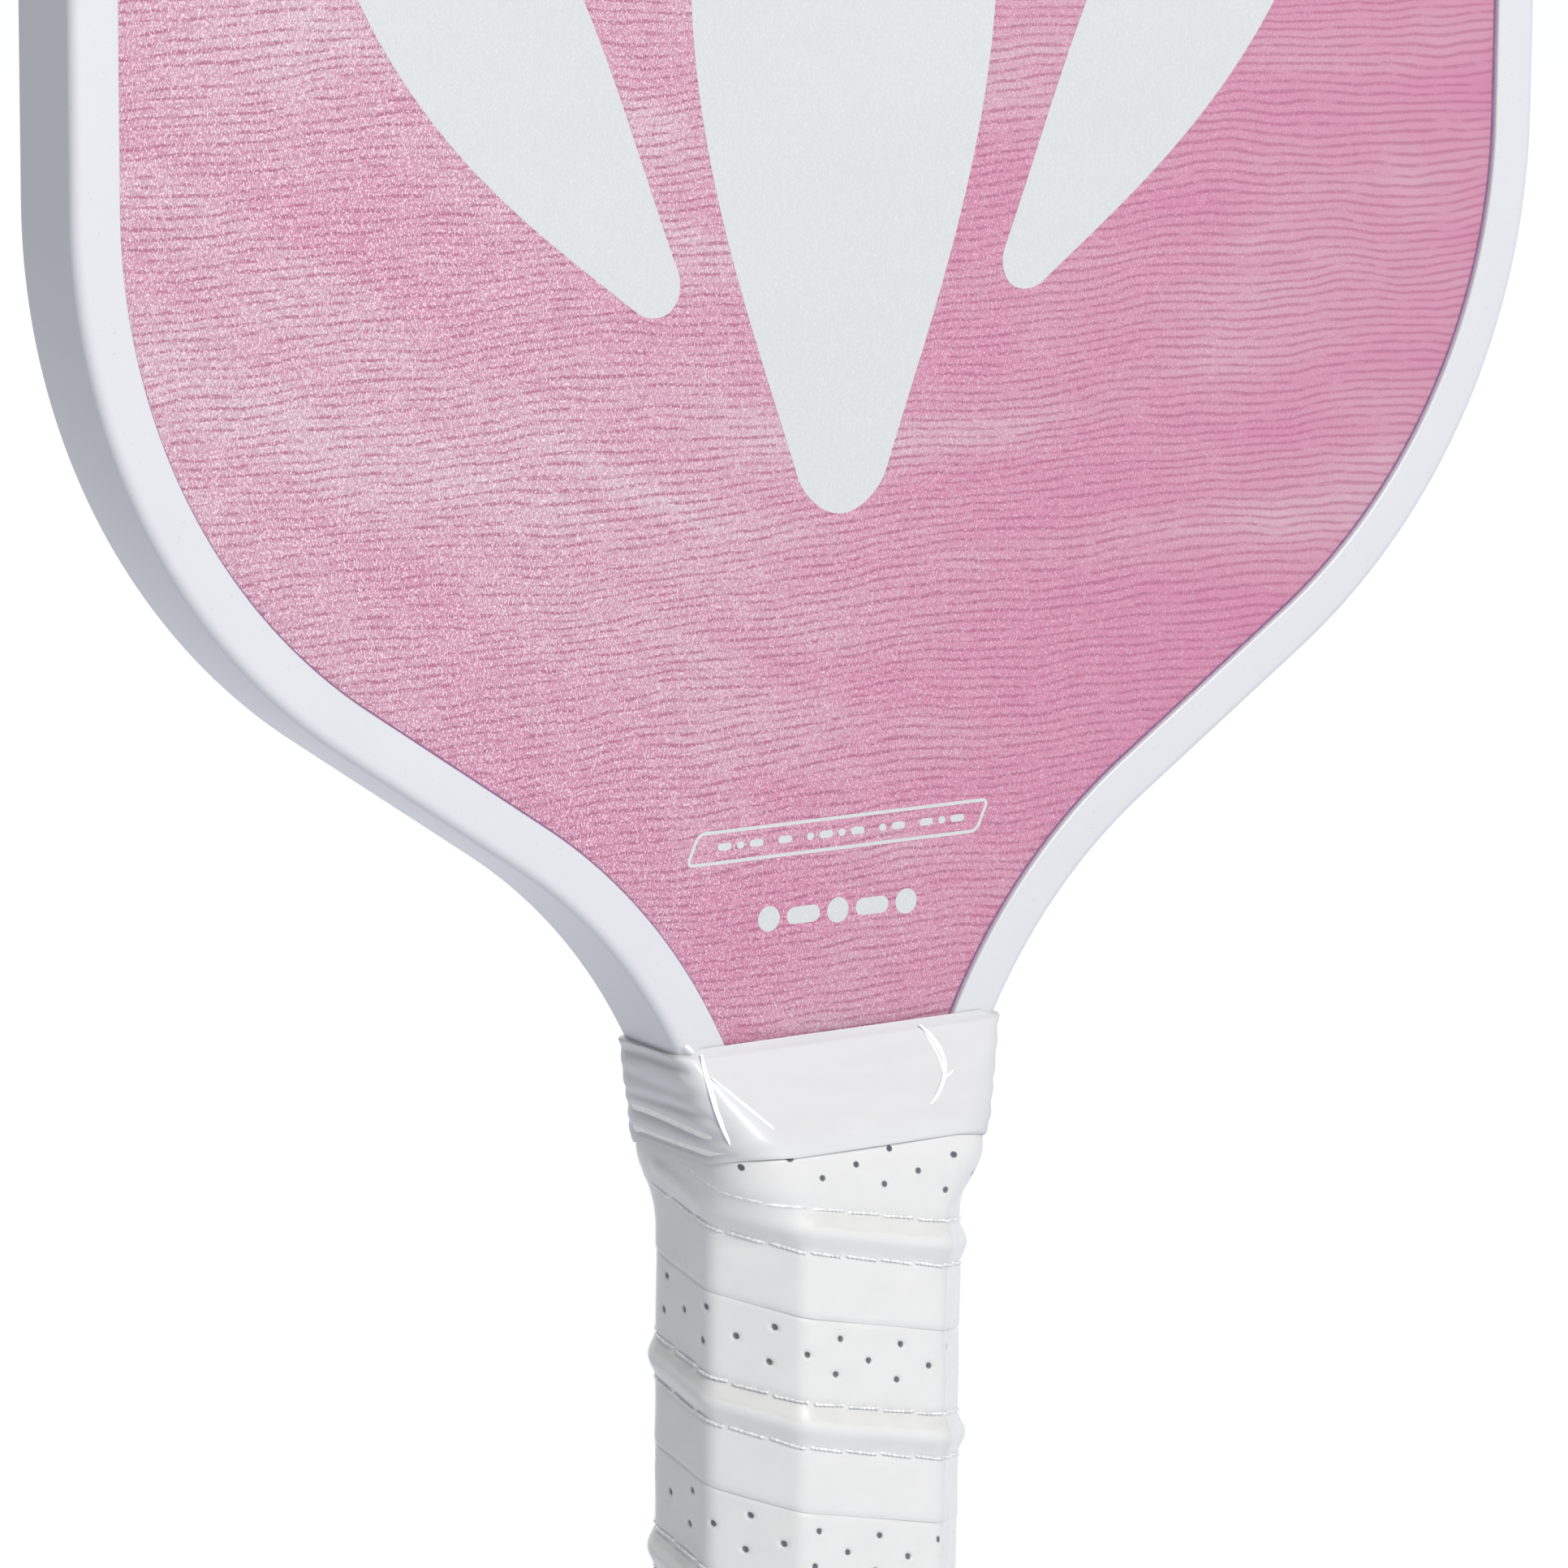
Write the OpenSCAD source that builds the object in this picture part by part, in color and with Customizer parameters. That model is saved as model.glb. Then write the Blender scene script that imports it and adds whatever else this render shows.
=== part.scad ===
// Pickleball paddle: honeycomb core between printed fibreglass faces, a moulded edge guard,
// and an octagonal handle with a spiral-wound ribbed grip, a rubber collar and a clear film sleeve.
// The paddle stands on its butt: Z runs up the handle to the head, Y is the thickness, front is -Y.

/* [Overall] */
// Length from the butt to the top of the head
total_len = 400; // [385:1:407]
// Width of the head over the edge guard
head_w = 200; // [194:1:202]
// Height of the collar's top edge above the butt
handle_len = 127; // [120:1:135]

/* [Head outline] */
// Radius of the two lower shoulders of the head
shoulder_r = 75.6; // [72:0.2:78]
// Height of the shoulders' upper ends above the collar's top edge
shoulder_rise = 102.3; // [100:0.1:106]
// Steepest slope of the shoulders, from the vertical
taper_angle = 56; // [54:0.5:58]
// Half width of the neck where its fillet meets the straight slope
neck_x = 43.4; // [42:0.2:46]
// Radius of the neck fillet
neck_r = 64.5; // [62:0.5:67]
// Slope of the neck at the ends of the edge guard, from the vertical
neck_end_angle = 23; // [21:0.5:25]
// Radius of the two top corners
top_corner_r = 60; // [50:1:70]
// Radius of the flat arc across the top of the head
crown_r = 260; // [220:5:320]

/* [Layup] */
// Thickness of the honeycomb core
core_t = 10.5; // [9.5:0.1:11]
// Distance between opposite sides of a honeycomb cell, wall to wall
cell_pitch = 8; // [8:0.5:12]
// Thickness of the cell walls
cell_wall = 0.5; // [0.4:0.1:1]
// Thickness of the adhesive film under each face sheet
film_t = 0.1; // [0.05:0.05:0.15]
// Thickness of each fibreglass face sheet
sheet_t = 0.3; // [0.2:0.05:0.4]
// Thickness of the printed layer on each face sheet
print_t = 0.1; // [0.05:0.05:0.15]

/* [Edge guard] */
// Reach of the guard's lips over the faces
guard_lip = 5.8; // [4.5:0.1:6.5]
// Thickness of the guard's lips
guard_lip_t = 0.75; // [0.6:0.05:1]
// Thickness of the guard's outer wall
guard_wall = 1.5; // [1.3:0.1:1.8]
// Rounding of the guard's outer corners
guard_round = 1.3; // [0.8:0.1:1.4]
// Thickness of the bonding tape inside the guard
tape_t = 0.3; // [0.2:0.05:0.4]

/* [Handle] */
// Width of the gripped handle between its side flats
grip_w = 35.6; // [34:0.2:37]
// Depth of the gripped handle between its front and back flats
grip_d = 28.2; // [26.6:0.2:29]
// Size of the handle's corner bevels
grip_bevel = 8.1; // [7.6:0.1:8.6]
// Thickness of the butt cap's base plate
butt_plate = 3; // [2.5:0.1:4]
// Height of the butt cap's skirt above its base plate
butt_skirt = 12; // [8:1:14]

/* [Grip] */
// Advance of the spiral wrap in one turn
wrap_pitch = 23.4; // [21:0.2:24]
// Thickness of the grip's outer skin
skin_t = 0.9; // [0.7:0.05:1]
// Thickness of the felt backing
felt_t = 0.8; // [0.7:0.05:1]
// Thickness of the adhesive strip under the felt
adhesive_t = 0.15; // [0.1:0.05:0.2]
// Width of the raised rib in the middle of the strip
rib_w = 4.4; // [3.6:0.2:5]
// Height of the raised rib
rib_h = 1; // [0.6:0.1:1.2]
// Width of the stitching threads
thread_w = 0.45; // [0.3:0.05:0.6]

/* [Collar] */
// Height of the rubber collar
collar_h = 14; // [13:0.5:15]
// Width of the collar at its top edge
collar_top_w = 45.3; // [45.3:0.1:46.5]
// Depth of the collar at its top edge
collar_top_d = 14.9; // [14.9:0.1:16]

/* [Hidden] */

step_angle = 4;                         // largest angle between the points of a polygon's arcs
gap = 0.05;                             // assembly clearance between nested pieces

half_w = head_w / 2;
sheet_in = core_t / 2 + film_t;         // inner face of a face sheet, from the middle plane
sheet_out = sheet_in + sheet_t;
panel_half = sheet_out + print_t;       // half thickness of the finished panel
guard_half = panel_half + guard_lip_t;  // half thickness over the edge guard
panel_inset = guard_wall + tape_t + 2 * gap;

// The head outline is a chain of tangent arcs. Each centre is [x, z] for the right half.
shoulder_z = handle_len + shoulder_rise;
shoulder_c = [half_w - shoulder_r, shoulder_z];
slope_top = shoulder_c + shoulder_r * [cos(taper_angle), -sin(taper_angle)];
slope_low = [neck_x, slope_top[1] - (slope_top[0] - neck_x) / tan(taper_angle)];
neck_c = slope_low + neck_r * [cos(taper_angle), -sin(taper_angle)];
crown_c = [0, total_len - crown_r];
corner_c = [
    half_w - top_corner_r,
    crown_c[1] + sqrt(pow(crown_r - top_corner_r, 2) - pow(half_w - top_corner_r, 2))
];
crown_angle = asin((half_w - top_corner_r) / (crown_r - top_corner_r));
neck_end_z = neck_c[1] + neck_r * sin(neck_end_angle);

// The handle is built outwards from its two blocks in layers of even thickness.
wrap_t = adhesive_t + felt_t + skin_t;
skirt_t = 1;                            // thickness of the butt cap's skirt
tang_half = octagon_half_width(-skirt_t, panel_half) - gap;
tang_shoulder_z = neck_end_z - 9;       // where the tang starts to widen into the neck
tang_low_z = butt_plate + gap;
block_low_z = butt_plate + gap;
block_top_z = handle_len - 1;
block_slope_z = handle_len - 12;        // where the blocks start to thin towards the head
block_lip = 0.8;                        // thickness of the blocks at their top ends
collar_low_z = handle_len - collar_h;
collar_bend_z = collar_low_z + 2.5;     // below this height the collar hugs the grip
print_low_z = handle_len - 6;

wrap_low_z = butt_plate + 0.5;
wrap_top_z = collar_bend_z - 0.2;
strip_w = wrap_pitch - 0.15;
rib_offset = -12.85;                    // middle of the rib, from the strip's upper edge
front_edge_z = 117.3;                   // strip's upper edge at the middle of the front flat

// Corners of the handle's octagon grown by d, anticlockwise from the front flat's right end.
function octagon(d) =
    let (
        x = grip_w / 2 - wrap_t + d,
        y = grip_d / 2 - wrap_t + d,
        b = grip_bevel - (wrap_t - d) * (2 - sqrt(2))
    )
    [[x - b, -y], [x, b - y], [x, y - b], [x - b, y], [b - x, y], [-x, y - b], [-x, b - y], [b - x, -y]];

// Half width at the depth y of the octagon grown by d.
function octagon_half_width(d, y) = octagon(d)[2][0] - max(0, y - octagon(d)[2][1]);

function arc(c, r, a0, a1) =
    let (n = ceil(abs(a1 - a0) / step_angle))
    [for (i = [0:n]) let (a = a0 + (a1 - a0) * i / n) c + r * [cos(a), sin(a)]];

// Right half of the head outline, moved inwards by `inset`, from the neck up to the crown.
function outline_right(inset) = concat(
    arc(neck_c, neck_r + inset, 180 - neck_end_angle, 180 - taper_angle),
    arc(shoulder_c, shoulder_r - inset, -taper_angle, 0),
    arc(corner_c, top_corner_r - inset, 0, 90 - crown_angle),
    arc(crown_c, crown_r - inset, 90 - crown_angle, 90)
);

// The whole outline from its right half. A point on the middle line isn't repeated.
function mirrored(points) = concat(
    points,
    [for (i = [len(points) - 1:-1:0]) if (points[i][0] > 0.001) [-points[i][0], points[i][1]]]
);

// Half width of the outline at height z, moved inwards by `inset`.
function half_width(z, inset) =
    z < tang_shoulder_z ? tang_half :
    z < slope_low[1] ? neck_c[0] - sqrt(pow(neck_r + inset, 2) - pow(min(z - neck_c[1], neck_r), 2)) :
    z < slope_top[1] ? neck_x - inset / cos(taper_angle) + (z - slope_low[1]) * tan(taper_angle) :
    z < shoulder_z ? shoulder_c[0] + sqrt(pow(shoulder_r - inset, 2) - pow(z - shoulder_z, 2)) :
    z < corner_c[1] ? half_w - inset :
    z < corner_c[1] + (top_corner_r - inset) * cos(crown_angle)
        ? corner_c[0] + sqrt(pow(top_corner_r - inset, 2) - pow(z - corner_c[1], 2)) : 0;

// Lays a drawing of the XZ plane between the depths y0 and y1.
module slab(y0, y1) {
    translate([0, y1, 0])
        rotate([90, 0, 0])
            linear_extrude(y1 - y0)
                children();
}

// The same layer on the front (side = -1) or on the back (side = 1) of the middle plane.
module layer(side, inner, outer) {
    slab(side < 0 ? -outer : inner, side < 0 ? -inner : outer)
        children();
}

module tang_panel() {
    polygon(mirrored(concat(
        [[tang_half, tang_low_z], [tang_half, tang_shoulder_z]],
        outline_right(panel_inset)
    )));
}

module head_panel() {
    polygon(mirrored(concat([[tang_half, print_low_z]], outline_right(panel_inset))));
}

core_rim = 0.4;                         // least width of the solid rim round the open cells

module honeycomb_core() {
    cell_r = (cell_pitch - cell_wall) / 2 / cos(30);
    row_step = cell_pitch * cos(30);
    rows = floor((total_len - tang_low_z) / row_step);
    columns = ceil(half_w / cell_pitch);
    margin = cell_pitch / 2 + core_rim;
    color("gainsboro")
        slab(-core_t / 2, core_t / 2)
            difference() {
                tang_panel();
                for (row = [1:rows], column = [-columns:columns]) {
                    x = (column + (row % 2) / 2) * cell_pitch;
                    z = tang_low_z + row * row_step;
                    room = min(
                        half_width(z - margin, panel_inset),
                        half_width(z + margin, panel_inset)
                    );
                    if (abs(x) + margin < room)
                        translate([x, z])
                            rotate(30)
                                circle(r = cell_r, $fn = 6);
                }
            }
}

module core_adhesive(side) {
    color("lightyellow")
        layer(side, core_t / 2, sheet_in)
            tang_panel();
}

module face_sheet(side) {
    color("lightpink")
        layer(side, sheet_in, sheet_out)
            tang_panel();
}

module print_layer(side) {
    color("palevioletred")
        layer(side, sheet_out, panel_half)
            head_panel();
}

// Sweeps a closed section of [distance in from the outline, depth] points along the head
// outline from one end of the neck to the other.
module outline_sweep(section) {
    count = len(section);
    paths = [for (p = section) mirrored(outline_right(p[0]))];
    stations = len(paths[0]);
    points = [
        for (i = [0:stations - 1], k = [0:count - 1])
            [paths[k][i][0], section[k][1], paths[k][i][1]]
    ];
    polyhedron(
        points = points,
        faces = tube_faces(stations, count),
        convexity = 10
    );
}

// Faces of a tube through successive rings: both ends, and two triangles for each quad.
function tube_faces(rings, count) = concat(
    [[for (k = [count - 1:-1:0]) k]],
    [
        for (i = [0:rings - 2], k = [0:count - 1])
            let (a = i * count + k, b = i * count + (k + 1) % count)
            each [[a, b + count, a + count], [a, b, b + count]]
    ],
    [[for (k = [0:count - 1]) (rings - 1) * count + k]]
);

guard_round_steps = 3;

// Half of the guard's U section, from the outer wall round one lip to the slot.
function guard_half_section(side) = concat(
    [for (j = [0:guard_round_steps])
        let (a = 90 * j / guard_round_steps)
        [guard_round * (1 - cos(a)), side * (guard_half - guard_round * (1 - sin(a)))]],
    [[guard_lip, side * guard_half], [guard_lip, side * panel_half], [guard_wall, side * panel_half]]
);

module edge_guard() {
    front = guard_half_section(-1);
    back = guard_half_section(1);
    color("whitesmoke")
        outline_sweep(concat([for (i = [len(back) - 1:-1:0]) back[i]], front));
}

module edge_bond_tape() {
    low = guard_wall;
    high = guard_wall + tape_t;
    y = core_t / 2;
    color("khaki")
        outline_sweep([[low, y], [low, -y], [high, -y], [high, y]]);
}

module octagon_prism(d, z0, z1) {
    translate([0, 0, z0])
        linear_extrude(z1 - z0)
            polygon(octagon(d));
}

module handle_glue(side) {
    color("wheat")
        layer(side, sheet_out, panel_half)
            polygon([
                [-tang_half + gap, tang_low_z], [tang_half - gap, tang_low_z],
                [tang_half - gap, print_low_z - gap], [-tang_half + gap, print_low_z - gap]
            ]);
}

// One of the two blocks that thicken the tang to the handle's octagon. It is rebated at the
// bottom for the butt cap's skirt and thins towards the head under the collar.
module handle_block(side) {
    block_half = grip_d / 2 - wrap_t;
    slope = atan2(block_half - panel_half - block_lip, block_top_z - block_slope_z);
    cut = 100;                          // size of the cutting boxes
    color("burlywood")
        difference() {
            union() {
                octagon_prism(-gap, block_low_z + butt_skirt, block_top_z);
                octagon_prism(-skirt_t - gap, block_low_z, block_low_z + butt_skirt + 1);
            }
            translate([-cut / 2, side < 0 ? -panel_half : panel_half - cut, 0])
                cube([cut, cut, total_len]);
            translate([-cut / 2, side * block_half, block_slope_z])
                rotate([side * slope, 0, 0])
                    translate([0, side < 0 ? -cut : 0, 0])
                        cube(cut);
        }
}

cap_flare = wrap_t + 1.5;               // reach of the cap's rim beyond the handle's blocks
cap_step = 0.6;                         // step that softens the rim's edges
inlay_inset = 3;                        // width of the cap's bottom round the inlay
inlay_depth = 1;

module butt_cap() {
    color("white")
        difference() {
            union() {
                octagon_prism(cap_flare - cap_step, 0, butt_plate);
                octagon_prism(cap_flare, cap_step, butt_plate - cap_step);
                octagon_prism(-gap, butt_plate - cap_step, butt_plate + butt_skirt);
            }
            octagon_prism(-skirt_t, butt_plate, butt_plate + butt_skirt + 1);
            octagon_prism(-inlay_inset, -1, inlay_depth);
        }
}

module butt_inlay() {
    color("pink")
        octagon_prism(-inlay_inset - gap, 0, inlay_depth - gap);
}

// The grip's strips run down the handle as a left-to-right spiral across the front flat.
// Every turn has one ring at each corner of the octagon, so each strip lies flat on each side.
corner_xy = octagon(0);
side_len = [for (i = [0:7]) norm(corner_xy[(i + 1) % 8] - corner_xy[i])];
function length_to(i) = i == 0 ? side_len[7] / 2 : length_to(i - 1) + side_len[i - 1];
perimeter = length_to(7) + side_len[7] / 2;
turns = ceil((wrap_top_z - wrap_low_z) / wrap_pitch) + 2;

// Height of the strip's upper edge at corner i, counted down the spiral from above the grip.
function edge_z(i) = front_edge_z + wrap_pitch * (1 - floor(i / 8) - length_to(i % 8) / perimeter);

// A strip's section is a list of [distance out, distance from the strip's upper edge, bulge].
// The bulge adds to the distance out where the strip has its full width. With cut = true the
// first and last turns are narrowed to end level with the grip's ends.
module spiral_strip(section, first, last, cut = true) {
    count = len(section);
    rings = last - first;
    points = [
        for (i = [first:last])
            let (
                whole = !cut || (edge_z(i) <= wrap_top_z && edge_z(i) - strip_w >= wrap_low_z),
                upper = cut ? min(edge_z(i), wrap_top_z) : edge_z(i),
                lower = cut ? max(edge_z(i) - strip_w, wrap_low_z) : edge_z(i) - strip_w
            )
            for (p = section)
                let (xy = octagon(p[0] + (whole ? p[2] : 0))[i % 8])
                [xy[0], xy[1], upper + p[1] / strip_w * (upper - lower)]
    ];
    polyhedron(
        points = points,
        faces = tube_faces(rings + 1, count),
        convexity = 10
    );
}

strip_tip = 1.5;                        // least width of a strip's cut ends

// Rings of the spiral at which a strip starts and ends, and between which it is whole.
function first_ring(i = 0) = edge_z(i) - strip_w < wrap_top_z - strip_tip ? i : first_ring(i + 1);
function last_ring(i = 8 * turns) = edge_z(i) > wrap_low_z + strip_tip ? i : last_ring(i - 1);
function first_whole(i = 0) = edge_z(i) <= wrap_top_z ? i : first_whole(i + 1);
function last_whole(i = 8 * turns) = edge_z(i) - strip_w >= wrap_low_z ? i : last_whole(i - 1);

felt_in = adhesive_t;
skin_in = adhesive_t + felt_t;
skin_out = wrap_t;
rib_low = rib_offset - rib_w / 2;
rib_high = rib_offset + rib_w / 2;
rib_flank = 0.8;                        // run of the rib's sloping sides
adhesive_edges = [-17, -4];             // edges of the adhesive, from the strip's upper edge
stitch_gap = 0.5;                       // from the foot of the rib to the middle of a stitch row

module grip_adhesive_strip() {
    low = adhesive_edges[0];
    high = adhesive_edges[1];
    color("lemonchiffon")
        spiral_strip([[0, low, 0], [adhesive_t, low, 0], [adhesive_t, high, 0], [0, high, 0]],
            first_whole(), last_whole());
}

module grip_felt_strip() {
    color("lightgray")
        spiral_strip([
            [felt_in, -strip_w, 0], [skin_in, -strip_w, 0], [skin_in, 0, 0], [felt_in, 0, 0]
        ], first_ring(), last_ring());
}

module grip_rib_cord() {
    height = rib_h - gap;
    color("ghostwhite")
        spiral_strip([
            [skin_in, rib_low, 0], [skin_in, rib_low + rib_flank, height],
            [skin_in, rib_high - rib_flank, height], [skin_in, rib_high, 0]
        ], first_whole(), last_whole());
}

module grip_skin_strip() {
    low = rib_low - gap;
    high = rib_high + gap;
    color("white")
        spiral_strip([
            [skin_out, -strip_w, 0], [skin_out, low, 0],
            [skin_out, rib_low + rib_flank, rib_h], [skin_out, rib_high - rib_flank, rib_h],
            [skin_out, high, 0], [skin_out, 0, 0],
            [skin_in, 0, 0], [skin_in, high, 0],
            [skin_in, rib_high - rib_flank, rib_h], [skin_in, rib_low + rib_flank, rib_h],
            [skin_in, low, 0], [skin_in, -strip_w, 0]
        ], first_ring(), last_ring());
}

// One of the two rows of stitching that run beside the rib.
module grip_stitch(side) {
    middle = rib_offset + side * (rib_w / 2 + stitch_gap);
    color("silver")
        spiral_strip([
            [skin_out, middle - thread_w / 2, 0], [skin_out + thread_w / 2, middle - thread_w / 4, 0],
            [skin_out + thread_w / 2, middle + thread_w / 4, 0], [skin_out, middle + thread_w / 2, 0]
        ], first_whole(), last_whole());
}

// A closed shell through a loop of rings with equal numbers of points: up the outer surface
// and down the inner one.
module ring_shell(rings) {
    count = len(rings[0]);
    points = [for (r = rings, p = r) p];
    faces = [
        for (i = [0:len(rings) - 1], k = [0:count - 1])
            let (
                a = i * count + k,
                b = i * count + (k + 1) % count,
                c = (i + 1) % len(rings) * count + k,
                d = (i + 1) % len(rings) * count + (k + 1) % count
            )
            each [[a, c, d], [a, d, b]]
    ];
    polyhedron(points = points, faces = faces, convexity = 6);
}

// Ring of a rounded rectangle [width, depth, corner radius] grown by d.
corner_steps = 8;
function ring(size, d, z) = [
    for (q = [0:3], j = [0:corner_steps])
        let (
            a = 90 * (q + j / corner_steps),
            x = (size[0] / 2 - size[2]) * (q == 0 || q == 3 ? 1 : -1),
            y = (size[1] / 2 - size[2]) * (q < 2 ? 1 : -1)
        )
        [x + (size[2] + d) * cos(a), y + (size[2] + d) * sin(a), z]
];

// Ring of the handle's octagon grown by d, with the same number of points.
function octagon_ring(d, z) = [
    for (q = [0:3], j = [0:corner_steps])
        let (
            p = octagon(d)[(2 * q + 2) % 8],
            m = octagon(d)[(2 * q + 3) % 8],
            xy = p + (m - p) * j / corner_steps
        )
        [xy[0], xy[1], z]
];

// The collar hugs the grip at the bottom, then flattens and widens towards the head.
collar_bottom = [grip_w + 2.6, grip_d + 1.9, 7.5];
collar_top = [collar_top_w, collar_top_d, 2];
function collar_size(z) =
    collar_bottom + (collar_top - collar_bottom)
        * max(0, (z - collar_bend_z) / (handle_len - collar_bend_z));

collar_wall = 0.4;
collar_ribs = 6;
collar_rib_h = 0.25;
rib_levels = 4;                         // levels from one rib of the collar to the next
tape_wrap_t = 0.2;                      // thickness of the finishing tape
tape_wrap_h = 6;                        // height of the finishing tape

module collar() {
    levels = collar_ribs * rib_levels;
    color("white")
        ring_shell(concat(
            [for (i = [0:levels])
                let (z = collar_low_z + collar_h * i / levels)
                ring(collar_size(z), -collar_rib_h / 2 * (1 - cos(360 * i / rib_levels)), z)],
            [for (z = [handle_len, collar_bend_z, collar_low_z])
                ring(collar_size(z), -collar_wall, z)]
        ));
}

// Tape that holds the end of the grip, hidden under the collar.
module finishing_tape() {
    heights = [collar_low_z, collar_bend_z, collar_low_z + tape_wrap_h];
    outer = -collar_wall - gap;
    color("mistyrose")
        ring_shell(concat(
            [for (z = heights) ring(collar_size(z), outer, z)],
            [for (i = [2:-1:0]) ring(collar_size(heights[i]), outer - tape_wrap_t, heights[i])]
        ));
}

sleeve_t = 0.15;
sleeve_rise = 1.5;                      // reach of the sleeve above the collar
sleeve_spread = 1.7;                    // widening of the sleeve over that reach
sleeve_low_z = 0.4;
sleeve_ease = 2;                        // height over which the sleeve steps in or out

// Surface of the film sleeve at a distance d outside what it wraps.
function sleeve_rings(d) = [
    octagon_ring(cap_flare + d, sleeve_low_z),
    octagon_ring(cap_flare + d, butt_plate + sleeve_low_z),
    octagon_ring(skin_out + rib_h + d, butt_plate + sleeve_ease),
    octagon_ring(skin_out + rib_h + d, collar_low_z - sleeve_ease),
    ring(collar_bottom, d, collar_low_z),
    ring(collar_bottom, d, collar_bend_z),
    ring(collar_top, d, handle_len),
    ring(collar_top + [sleeve_spread, 0, 0], d, handle_len + sleeve_rise)
];

module film_sleeve() {
    outer = sleeve_rings(2 * gap + sleeve_t);
    inner = sleeve_rings(2 * gap);
    color("azure", 0.3)
        ring_shell(concat(outer, [for (i = [len(inner) - 1:-1:0]) inner[i]]));
}

honeycomb_core();
core_adhesive(-1);  // core_adhesive_front
core_adhesive(1);  // core_adhesive_back
face_sheet(-1);  // face_sheet_front
face_sheet(1);  // face_sheet_back
print_layer(-1);  // print_layer_front
print_layer(1);  // print_layer_back
edge_guard();
edge_bond_tape();
handle_glue(-1);  // handle_glue_front
handle_glue(1);  // handle_glue_back
handle_block(-1);  // handle_block_front
handle_block(1);  // handle_block_back
butt_cap();
butt_inlay();
grip_adhesive_strip();
grip_felt_strip();
grip_rib_cord();
grip_skin_strip();
grip_stitch(1);  // grip_stitch_upper
grip_stitch(-1);  // grip_stitch_lower
finishing_tape();
collar();
film_sleeve();
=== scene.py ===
"""Looks of the pickleball paddle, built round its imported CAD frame.

Sizes here are in millimetres, in the frame's own axes, until make_mesh() writes metres.
"""
import math

import bmesh
import bpy
import numpy as np
from mathutils import Matrix, Vector


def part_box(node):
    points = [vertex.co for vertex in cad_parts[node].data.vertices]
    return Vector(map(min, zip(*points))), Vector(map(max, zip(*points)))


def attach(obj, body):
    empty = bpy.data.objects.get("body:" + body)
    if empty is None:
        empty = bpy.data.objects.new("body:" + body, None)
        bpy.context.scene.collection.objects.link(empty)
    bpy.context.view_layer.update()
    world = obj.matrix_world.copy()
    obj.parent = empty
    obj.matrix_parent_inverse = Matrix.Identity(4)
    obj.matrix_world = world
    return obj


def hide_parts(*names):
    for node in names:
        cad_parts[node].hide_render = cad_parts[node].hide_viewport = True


MM = 0.001
BODY = "root"

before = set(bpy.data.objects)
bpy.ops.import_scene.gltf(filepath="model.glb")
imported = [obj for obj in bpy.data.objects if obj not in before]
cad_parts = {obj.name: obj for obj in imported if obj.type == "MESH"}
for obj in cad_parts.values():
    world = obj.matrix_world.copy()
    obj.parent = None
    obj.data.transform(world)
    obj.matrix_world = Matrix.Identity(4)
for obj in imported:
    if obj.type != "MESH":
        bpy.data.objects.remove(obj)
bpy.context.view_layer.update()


def node_box(node):
    """Lowest and highest corner of a CAD node, in millimetres."""
    low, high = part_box(node)
    return np.array(low) / MM, np.array(high) / MM


# ---------------------------------------------------------------- sizes

HEAD_HALF_W, GUARD_HALF, HEAD_TOP = node_box("edge_guard")[1]
PANEL_HALF = node_box("print_layer_back")[1][1]
COLLAR_LOW = node_box("collar")[0][2]
COLLAR_TOP = node_box("collar")[1][2]
SLEEVE_TOP = node_box("film_sleeve")[1][2]

# The head outline, as in the frame: a chain of tangent arcs for the right half.
SHOULDER_R = 75.6
SHOULDER_RISE = 102.3
TAPER = math.radians(56)
NECK_X = 43.4
NECK_R = 64.5
NECK_END_ANGLE = math.radians(23)
CORNER_R = 60
CROWN_R = 260

GUARD_LIP = 5.8
GUARD_WALL = 1.5
GUARD_ROUND = 1.3
LIP_ROUND = 0.3

# The gripped handle is an octagon with rounded corners.
GRIP_HALF_W = 17.8
GRIP_HALF_D = 14.1
GRIP_BEVEL = 8.1
GRIP_ROUND = 3.1
BLOCK_INSET = 1.85
# Half of the angle that the octagon turns at a corner, in degrees.
HALF_CORNER = 22.5
SKIN_T = 0.9

# The wrap is one strip in a left-to-right spiral across the front.
WRAP_PITCH = 23.4
WRAP_TOP = 117
WRAP_LOW = 3.1
FRONT_EDGE_Z = 117.3
RIB_AT = 12.85
RIB_HALF = 2.6
RIB_H = 0.85
STITCH_AT = 2.7
STITCH_PITCH = 4.9
HOLE_ROWS = (2.1, 4.4, 6.4)
HOLE_SHIFTS = (0, 4.0, -0.6)
HOLE_PITCH = 8.55
HOLE_R = 0.45
HOLE_DEPTH = 0.4
# Where the top row's first hole lies to the right of the front's middle, turn by turn.
HOLE_STARTS = (1.7, 3.8, 1.1)
# Mesh lines across the strip as (from, to, count), close over its holes and its rib.
STRIP_LINES = ((0, 0.9, 5), (1.3, 7.2, 22), (8.2, 16.6, 20), (17.4, 22.6, 7), (23.0, WRAP_PITCH, 3))
STRIP_STEP = 0.42
# Between these heights the wrap swells towards the collar's section.
SWELL_LOW_Z = 103.8
SWELL_TOP_Z = 112.6

COLLAR_BOTTOM = np.array([38.6, 30.2, 8.0])
COLLAR_RIM = np.array([45.7, 14.9, 2.0])
# Where the collar's rim closes on the guard.
COLLAR_HUG = np.array([41.4, 13.4, 1.6])
COLLAR_BEND_Z = COLLAR_LOW + 2.5
COLLAR_WALL = 0.4
# The collar's lower edge below its top, its rise to the front and its fall to the right.
COLLAR_EDGE_DROP = 13.6
COLLAR_EDGE_RISE = 2.0
COLLAR_EDGE_FALL = 0.7
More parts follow.
